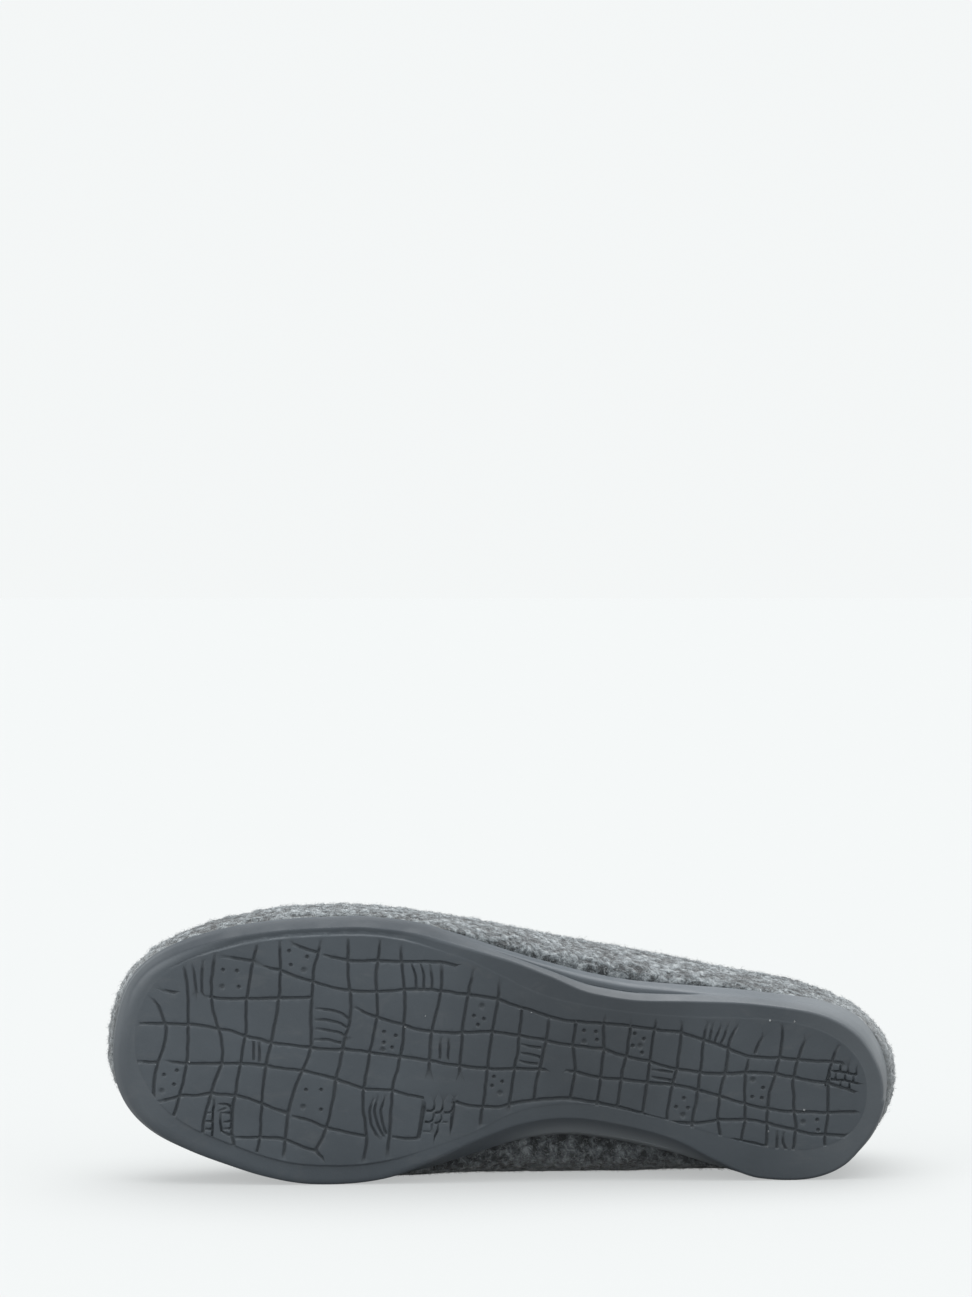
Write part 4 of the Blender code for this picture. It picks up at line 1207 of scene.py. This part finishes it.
felt_points = np.concatenate(outer + lining[::-1])
levels = len(outer)
felt_faces = ring_faces(levels, felt_count)
lining_from = len(felt_faces)
felt_faces += ring_faces(levels, felt_count, levels * felt_count)
lowest = (2 * levels - 1) * felt_count
felt_faces += [
    (lowest + k, lowest + (k + 1) % felt_count, (k + 1) % felt_count, k) for k in range(felt_count)
]
lining_to = len(felt_faces)
rings = [[(levels - 1) * felt_count + k for k in collar]]
for row in edge_rows:
    first = len(felt_points)
    felt_points = np.concatenate([felt_points, row])
    rings.append([first + i for i in range(len(row))])
rings.append([levels * felt_count + k for k in collar])
for upper_ring, lower_ring in zip(rings, rings[1:]):
    for i in range(len(collar) - 1):
        felt_faces.append((upper_ring[i], upper_ring[i + 1], lower_ring[i + 1], lower_ring[i]))
felt_slots = np.zeros(len(felt_faces), np.int32)
felt_slots[lining_from:lining_to] = 1
upper = shoe_piece("felt_upper", felt_points, felt_faces, None, felt_slots)

# Its outer face is matted into small tufts, so many to the metre, worked into a finer mesh.
COARSE_TUFTS, FINE_TUFTS = 430, 900
TUFT_HEIGHT = 0.00058
TUFT_SINK = 0.00036

work = bmesh.new()
work.from_mesh(upper.data)
face_edges = {edge for face in work.faces if face.material_index == 0 for edge in face.edges}
bmesh.ops.subdivide_edges(work, edges=list(face_edges), cuts=1, use_grid_fill=True)
work.normal_update()
places = np.array([vert.co for vert in work.verts])
outward = np.array([vert.normal for vert in work.verts])
felted = np.array([all(face.material_index == 0 for face in vert.link_faces) for vert in work.verts])
tuft = np.array([
    1.25 * noise.noise((x * COARSE_TUFTS, y * COARSE_TUFTS, z * COARSE_TUFTS))
    + 0.6 * noise.noise((x * FINE_TUFTS + 5, y * FINE_TUFTS, z * FINE_TUFTS))
    for x, y, z in places
])
in_shoe = (np.array(LYING.inverted()) @ np.column_stack([places, np.ones(len(places))]).T).T
proud = np.clip((in_shoe[:, 2] - rim_height(in_shoe[:, 0]) + 0.0004) / 0.002, 0, 1)
proud = proud * np.clip((places[:, 2] - 0.0006) / 0.0015, 0, 1) * felted
places = places + outward * ((TUFT_HEIGHT * tuft - TUFT_SINK) * proud)[:, None]
work.to_mesh(upper.data)
work.free()
upper.data.vertices.foreach_set("co", places.ravel())
tuft_mark = upper.data.attributes.new("tuft", "FLOAT", "POINT")
tuft_mark.data.foreach_set("value", np.clip(0.5 + 0.5 * tuft, 0, 1).astype(np.float32))
upper.data.update()
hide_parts("upper")

# Felt wool in tufts: pale and dark fibres in clumps, and the height of the clumps.
felt_tufts, taken, given = effect(
    "felt_tufts",
    [("Pale", "NodeSocketColor", (1, 1, 1, 1)), ("Middle", "NodeSocketColor", (0.5, 0.5, 0.5, 1)),
     ("Deep", "NodeSocketColor", (0, 0, 0, 1)), ("Tufts", "NodeSocketFloat", 520.0),
     ("Fibres", "NodeSocketFloat", 2600.0)],
    [("Tone", "NodeSocketColor"), ("Height", "NodeSocketFloat")],
)
clump = noise_at(felt_tufts, taken.outputs["Tufts"], 3.0, 0.62, warp=0.9)
fibre = noise_at(felt_tufts, taken.outputs["Fibres"], 2.0, 0.6, stretch=(1.0, 0.45, 0.7), warp=1.6)
drift = noise_at(felt_tufts, 75.0, 3.0, 0.6)
mixed = figure(felt_tufts, "ADD", figure(felt_tufts, "MULTIPLY", clump, 0.66),
               figure(felt_tufts, "MULTIPLY", fibre, 0.26))
mixed = figure(felt_tufts, "ADD", mixed, figure(felt_tufts, "MULTIPLY", drift, 0.22))
# Where the tuft mark is high the felt is paler. On the upper the mark is the height of the mesh's
# tufts, so their tops are paler and their hollows darker: painted shade.
tuft_share = figure(felt_tufts, "MULTIPLY", mark_on(felt_tufts, "tuft"), 0.28)
mixed = figure(felt_tufts, "ADD", mixed, tuft_share)
dark_share = spread(felt_tufts, mixed, 0.61, 0.77)
pale_share = spread(felt_tufts, mixed, 0.73, 0.90)
low = blend(felt_tufts, dark_share, taken.outputs["Deep"], taken.outputs["Middle"])
felt_tufts.links.new(blend(felt_tufts, pale_share, low, taken.outputs["Pale"]), given.inputs["Tone"])
height = figure(felt_tufts, "ADD", clump, figure(felt_tufts, "MULTIPLY", fibre, 0.45))
felt_tufts.links.new(height, given.inputs["Height"])

# painted shade for the felt low on its side near the floor, and painted light for its ends
FLOOR_SHADE = (0.018, 0.020, 0.022)
LIT_END_FELT = (0.34, 0.36, 0.37)

# Outside, the felt gets painted shade low on its side, near the floor, and painted light round the heel
# and the toes.
wool, tree, shader = finish(
    "melange_felt", 0.93, Specular_IOR_Level=0.22, Sheen_Weight=0.35, Sheen_Roughness=0.5
)
tufts = placed(tree, felt_tufts, Pale=(0.290, 0.316, 0.330), Middle=(0.126, 0.143, 0.153),
               Deep=(0.030, 0.0335, 0.036), Tufts=430.0, Fibres=1900.0)
place = place_on(tree)
painted_floor_shade = figure(tree, "MULTIPLY", spread(tree, place["Z"], 0.030, 0.006, 0.0, 0.36),
               spread(tree, place["X"], -0.030, 0.0))
felt_tone = blend(tree, painted_floor_shade, tufts.outputs["Tone"], FLOOR_SHADE)
painted_end_light = figure(tree, "MAXIMUM", spread(tree, place["X"], -0.100, -0.126, 0.0, 0.36),
                   spread(tree, place["X"], 0.104, 0.128, 0.0, 0.42))
tree.links.new(blend(tree, painted_end_light, felt_tone, LIT_END_FELT), shader.inputs["Base Color"])
bumped(tree, shader, tufts.outputs["Height"], 0.0009, 0.75)
upper.data.materials.append(wool)

inner_wool, tree, shader = finish(
    "felt_inside", 0.95, Specular_IOR_Level=0.2, Sheen_Weight=0.25, Sheen_Roughness=0.5
)
tufts = placed(tree, felt_tufts, Pale=(0.30, 0.31, 0.315), Middle=(0.15, 0.158, 0.163),
               Deep=(0.075, 0.080, 0.083), Tufts=800.0, Fibres=3000.0)
tree.links.new(tufts.outputs["Tone"], shader.inputs["Base Color"])
bumped(tree, shader, tufts.outputs["Height"], 0.0005, 0.7)
upper.data.materials.append(inner_wool)

# Loose wool hairs, pale and dark, work out of the felt's outer face as it wears. Each is a fine
# curved fibre rooted in the felt, most of them lying over, and here it is a narrow ribbon.
HAIR_WIDTH = 0.00008


def hairs(name, count, seed, longest, lift, finish_of):
    """Loose wool hairs on the felt's outer face, in one mesh of narrow ribbons."""
    pick = np.random.default_rng(seed)
    felt = upper.data
    starts = read_all(felt.polygons, "loop_start", kind=int)
    totals = read_all(felt.polygons, "loop_total", kind=int)
    slots = read_all(felt.polygons, "material_index", kind=int)
    areas = read_all(felt.polygons, "area")
    facings = read_all(felt.polygons, "normal", 3)
    corners = read_all(felt.loops, "vertex_index", kind=int)
    places = read_all(felt.vertices, "co", 3)
    chosen = np.where(slots == 0, areas, 0)
    chosen = pick.choice(len(areas), count, p=chosen / chosen.sum())
    a, b = pick.random(count), pick.random(count)
    fold = a + b > 1
    a, b = np.where(fold, 1 - a, a), np.where(fold, 1 - b, b)
    second = pick.integers(1, np.maximum(totals[chosen] - 1, 2))
    p0 = places[corners[starts[chosen]]]
    p1 = places[corners[starts[chosen] + second]]
    p2 = places[corners[starts[chosen] + np.minimum(second + 1, totals[chosen] - 1)]]
    root = p0 + (p1 - p0) * a[:, None] + (p2 - p0) * b[:, None]
    out = facings[chosen]
    across = np.cross(out, pick.normal(size=(count, 3)))
    across /= np.linalg.norm(across, axis=1)[:, None]
    side = np.cross(out, across)
    length = longest * (0.35 + 0.65 * pick.random(count) ** 1.5)[:, None]
    rise = (lift * pick.random(count) ** 2 + 0.04)[:, None]
    curl = pick.normal(scale=0.35, size=(count, 1))
    tip = root + across * length + out * length * rise + side * length * curl
    elbow = root + across * length * 0.5 + out * length * (rise * 0.75 + 0.05)
    twist = side * np.cos(a * 6)[:, None] + out * np.sin(a * 6)[:, None] * 0.6
    half_wide = twist * HAIR_WIDTH / 2
    sunk_root = root - out * 0.0002
    points = np.stack([
        sunk_root - half_wide, sunk_root + half_wide, elbow - half_wide, elbow + half_wide,
        tip - half_wide * 0.3, tip + half_wide * 0.3,
    ], axis=1)
    inner = (np.array(LYING.inverted()) @ np.column_stack([root, np.ones(count)]).T).T
    clear = (points[:, :, 2].min(axis=1) > 0.0001) & (inner[:, 2] > rim_height(inner[:, 0]) - 0.0005)
    points = points[clear]
    faces = []
    for first in range(0, len(points) * 6, 6):
        faces.append((first, first + 1, first + 3, first + 2))
        faces.append((first + 2, first + 3, first + 5, first + 4))
    hair_mesh = bpy.data.meshes.new(name)
    hair_mesh.from_pydata(points.reshape(-1, 3).tolist(), [], faces)
    hair_mesh.materials.append(finish_of)
    made = bpy.data.objects.new(name, hair_mesh)
    bpy.context.scene.collection.objects.link(made)
    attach(made, "root")


def hair_wool(name, pale, deep):
    """The wool of one set of hairs, a little uneven from hair to hair."""
    made, tree, shader = finish(name, 0.85, Specular_IOR_Level=0.3)
    tone = placed(tree, cloudy_tone, Pale=pale, Deep=deep, Clouds=420.0)
    tree.links.new(tone.outputs["Tone"], shader.inputs["Base Color"])
    return made


pale_wool = hair_wool("pale_hair", (0.45, 0.475, 0.487), (0.18, 0.197, 0.207))
dark_wool = hair_wool("dark_hair", (0.20, 0.215, 0.225), (0.05, 0.054, 0.058))
hairs("pale_hairs", count=48000, seed=3, longest=0.0019, lift=0.48, finish_of=pale_wool)
hairs("dark_hairs", count=46000, seed=8, longest=0.0020, lift=0.42, finish_of=dark_wool)

# The insole is a flat sheet of pressed grey felt, cut to the cup's plan with a rounded edge. It
# lies loose on the rubber inside the upper, and its top is trodden a little hollow.
INSOLE_THICKNESS = 0.0035
TRODDEN = 0.0009

insole_share = (1 - np.cos(np.linspace(0, math.pi, 181))) / 2
insole_line = inset(foot_ring(insole_share), FELT_WALL + GAP)
base = cup_height(insole_line[:, 0]) + GAP
insole_rows = [lifted(insole_line, base), lifted(insole_line, base + INSOLE_THICKNESS * 0.7)]
for turn in np.linspace(0.3, math.pi / 2, 6):
    back_in = INSOLE_THICKNESS * 0.3 * (1 - math.cos(turn))
    up = INSOLE_THICKNESS * (0.7 + 0.3 * math.sin(turn))
    insole_rows.append(lifted(inset(insole_line, back_in), base + up))
spine = np.stack([insole_line[:, 0], np.zeros(len(insole_line))], axis=1)
spine[:, 0] = np.clip(spine[:, 0], 0.03, 0.21)
edge_ring = insole_rows[-1]
for part in np.linspace(0.04, 1.0, 26):
    ring = edge_ring[:, :2] + (spine - edge_ring[:, :2]) * part
    tramped = -TRODDEN * math.sin(min(part * 1.6, 1) * math.pi / 2) ** 2
    rough = np.array([0.25 * noise.noise((p[0] * 90, p[1] * 90, 5)) for p in ring]) / 1000
    ring_top = cup_height(ring[:, 0]) + GAP + INSOLE_THICKNESS
    insole_rows.append(lifted(ring, ring_top + tramped + rough))
insole_count = len(insole_line)
insole_faces = ring_faces(len(insole_rows), insole_count)
for first in (0, (len(insole_rows) - 1) * insole_count):
    insole_faces += cross_faces(first, insole_count)
insole_points = np.concatenate(insole_rows)
matted = np.array([0.5 + 0.35 * noise.noise((p[0] * 210, p[1] * 210, 11.0)) for p in insole_points])
insole = shoe_piece("felt_insole", insole_points, insole_faces, {"tuft": matted})
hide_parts("insole")

insole_wool, tree, shader = finish("insole_felt", 0.95, Specular_IOR_Level=0.2, Sheen_Weight=0.2)
tufts = placed(tree, felt_tufts, Pale=(0.36, 0.375, 0.382), Middle=(0.205, 0.218, 0.226),
               Deep=(0.105, 0.112, 0.116), Tufts=620.0, Fibres=3200.0)
trodden_and_unshaded = blend(tree, spread(tree, noise_at(tree, 28.0, 3.0), 0.35, 0.65, 0.0, 0.35),
                tufts.outputs["Tone"], (0.15, 0.16, 0.166))
tree.links.new(trodden_and_unshaded, shader.inputs["Base Color"])
bumped(tree, shader, tufts.outputs["Height"], 0.0006, 0.8)
insole.data.materials.append(insole_wool)

# The floor is a pale matt studio table that runs out to the pale room behind it. It is for the
# picture alone, like the lights and the camera.
floor_mesh = bpy.data.meshes.new("studio_floor")
floor_mesh.from_pydata([(-30, -30, 0), (30, -30, 0), (30, 30, 0), (-30, 30, 0)], [], [(0, 1, 2, 3)])
floor = bpy.data.objects.new("studio_floor", floor_mesh)
bpy.context.scene.collection.objects.link(floor)

table, tree, shader = finish("pale_table", 0.6, Specular_IOR_Level=0.0, Emission_Strength=0.47)
shader.inputs["Base Color"].default_value = (0.228, 0.233, 0.233, 1)
shader.inputs["Emission Color"].default_value = (0.905, 0.926, 0.926, 1)
matt = put(tree, "ShaderNodeBsdfDiffuse", sockets={"Color": (0.24, 0.24, 0.24, 1)})
seen = put(tree, "ShaderNodeMixShader")
tree.links.new(put(tree, "ShaderNodeLightPath").outputs["Is Camera Ray"], seen.inputs["Fac"])
tree.links.new(matt.outputs["BSDF"], seen.inputs[1])
tree.links.new(shader.outputs["BSDF"], seen.inputs[2])
tree.links.new(seen.outputs["Shader"], tree.nodes["Material Output"].inputs["Surface"])
floor_mesh.materials.append(table)

# The room is as pale as the photograph's background, and colours are shown plainly.
room = bpy.data.worlds.new("pale_room")
room.use_nodes = True
room.node_tree.nodes["Background"].inputs["Color"].default_value = (0.905, 0.926, 0.926, 1)
room.node_tree.nodes["Background"].inputs["Strength"].default_value = 1.0
bpy.context.scene.world = room
bpy.context.scene.view_settings.view_transform = "Standard"
bpy.context.scene.view_settings.look = "None"
bpy.context.scene.view_settings.exposure = 0
bpy.context.scene.view_settings.gamma = 1


def soft_light(name, stands_at, energy, spread_deg):
    """A wide soft light, from a direction seen from the shoe."""
    lamp = bpy.data.lights.new(name, "SUN")
    lamp.energy = energy
    lamp.angle = math.radians(spread_deg)
    made = bpy.data.objects.new(name, lamp)
    made.rotation_euler = Vector(stands_at).to_track_quat("Z", "Y").to_euler()
    bpy.context.scene.collection.objects.link(made)


# One wide soft light from above, and a weaker one from each end of the shoe.
soft_light("overhead_softbox", stands_at=(0.05, 0.12, 1.0), energy=3.3, spread_deg=72)
soft_light("toe_side_softbox", stands_at=(-1.0, -0.45, 0.30), energy=1.2, spread_deg=60)
soft_light("heel_side_softbox", stands_at=(1.0, -0.40, 0.30), energy=0.95, spread_deg=60)

# The camera stands low in front of the tread, as for the photograph. Its focal length and the
# little it looks aside are in pixels of the photograph's height.
TARGET = Vector((0, 0, 0.045))
DISTANCE = 1.15
FRAME_HEIGHT = 1297
FOCAL_LENGTH = 3457.7
LOOK_ASIDE = 16.32
TURN, RISE, DOWN = math.radians(-4.2407), math.radians(7.5424), math.radians(1.1918)
camera = bpy.data.cameras.new("camera")
camera.sensor_fit = "VERTICAL"
camera.sensor_height = 24
camera.lens = camera.sensor_height * FOCAL_LENGTH / FRAME_HEIGHT
camera.clip_start = 0.02
camera.clip_end = 200
camera_object = bpy.data.objects.new("camera", camera)
behind = Vector((math.sin(TURN) * math.cos(RISE), -math.cos(TURN) * math.cos(RISE), math.sin(RISE)))
camera_object.location = TARGET + behind * DISTANCE
aside = math.atan(LOOK_ASIDE / FOCAL_LENGTH / math.cos(DOWN))
camera_object.rotation_euler = (math.pi / 2 - DOWN, 0, TURN + aside)
bpy.context.scene.collection.objects.link(camera_object)
bpy.context.scene.camera = camera_object
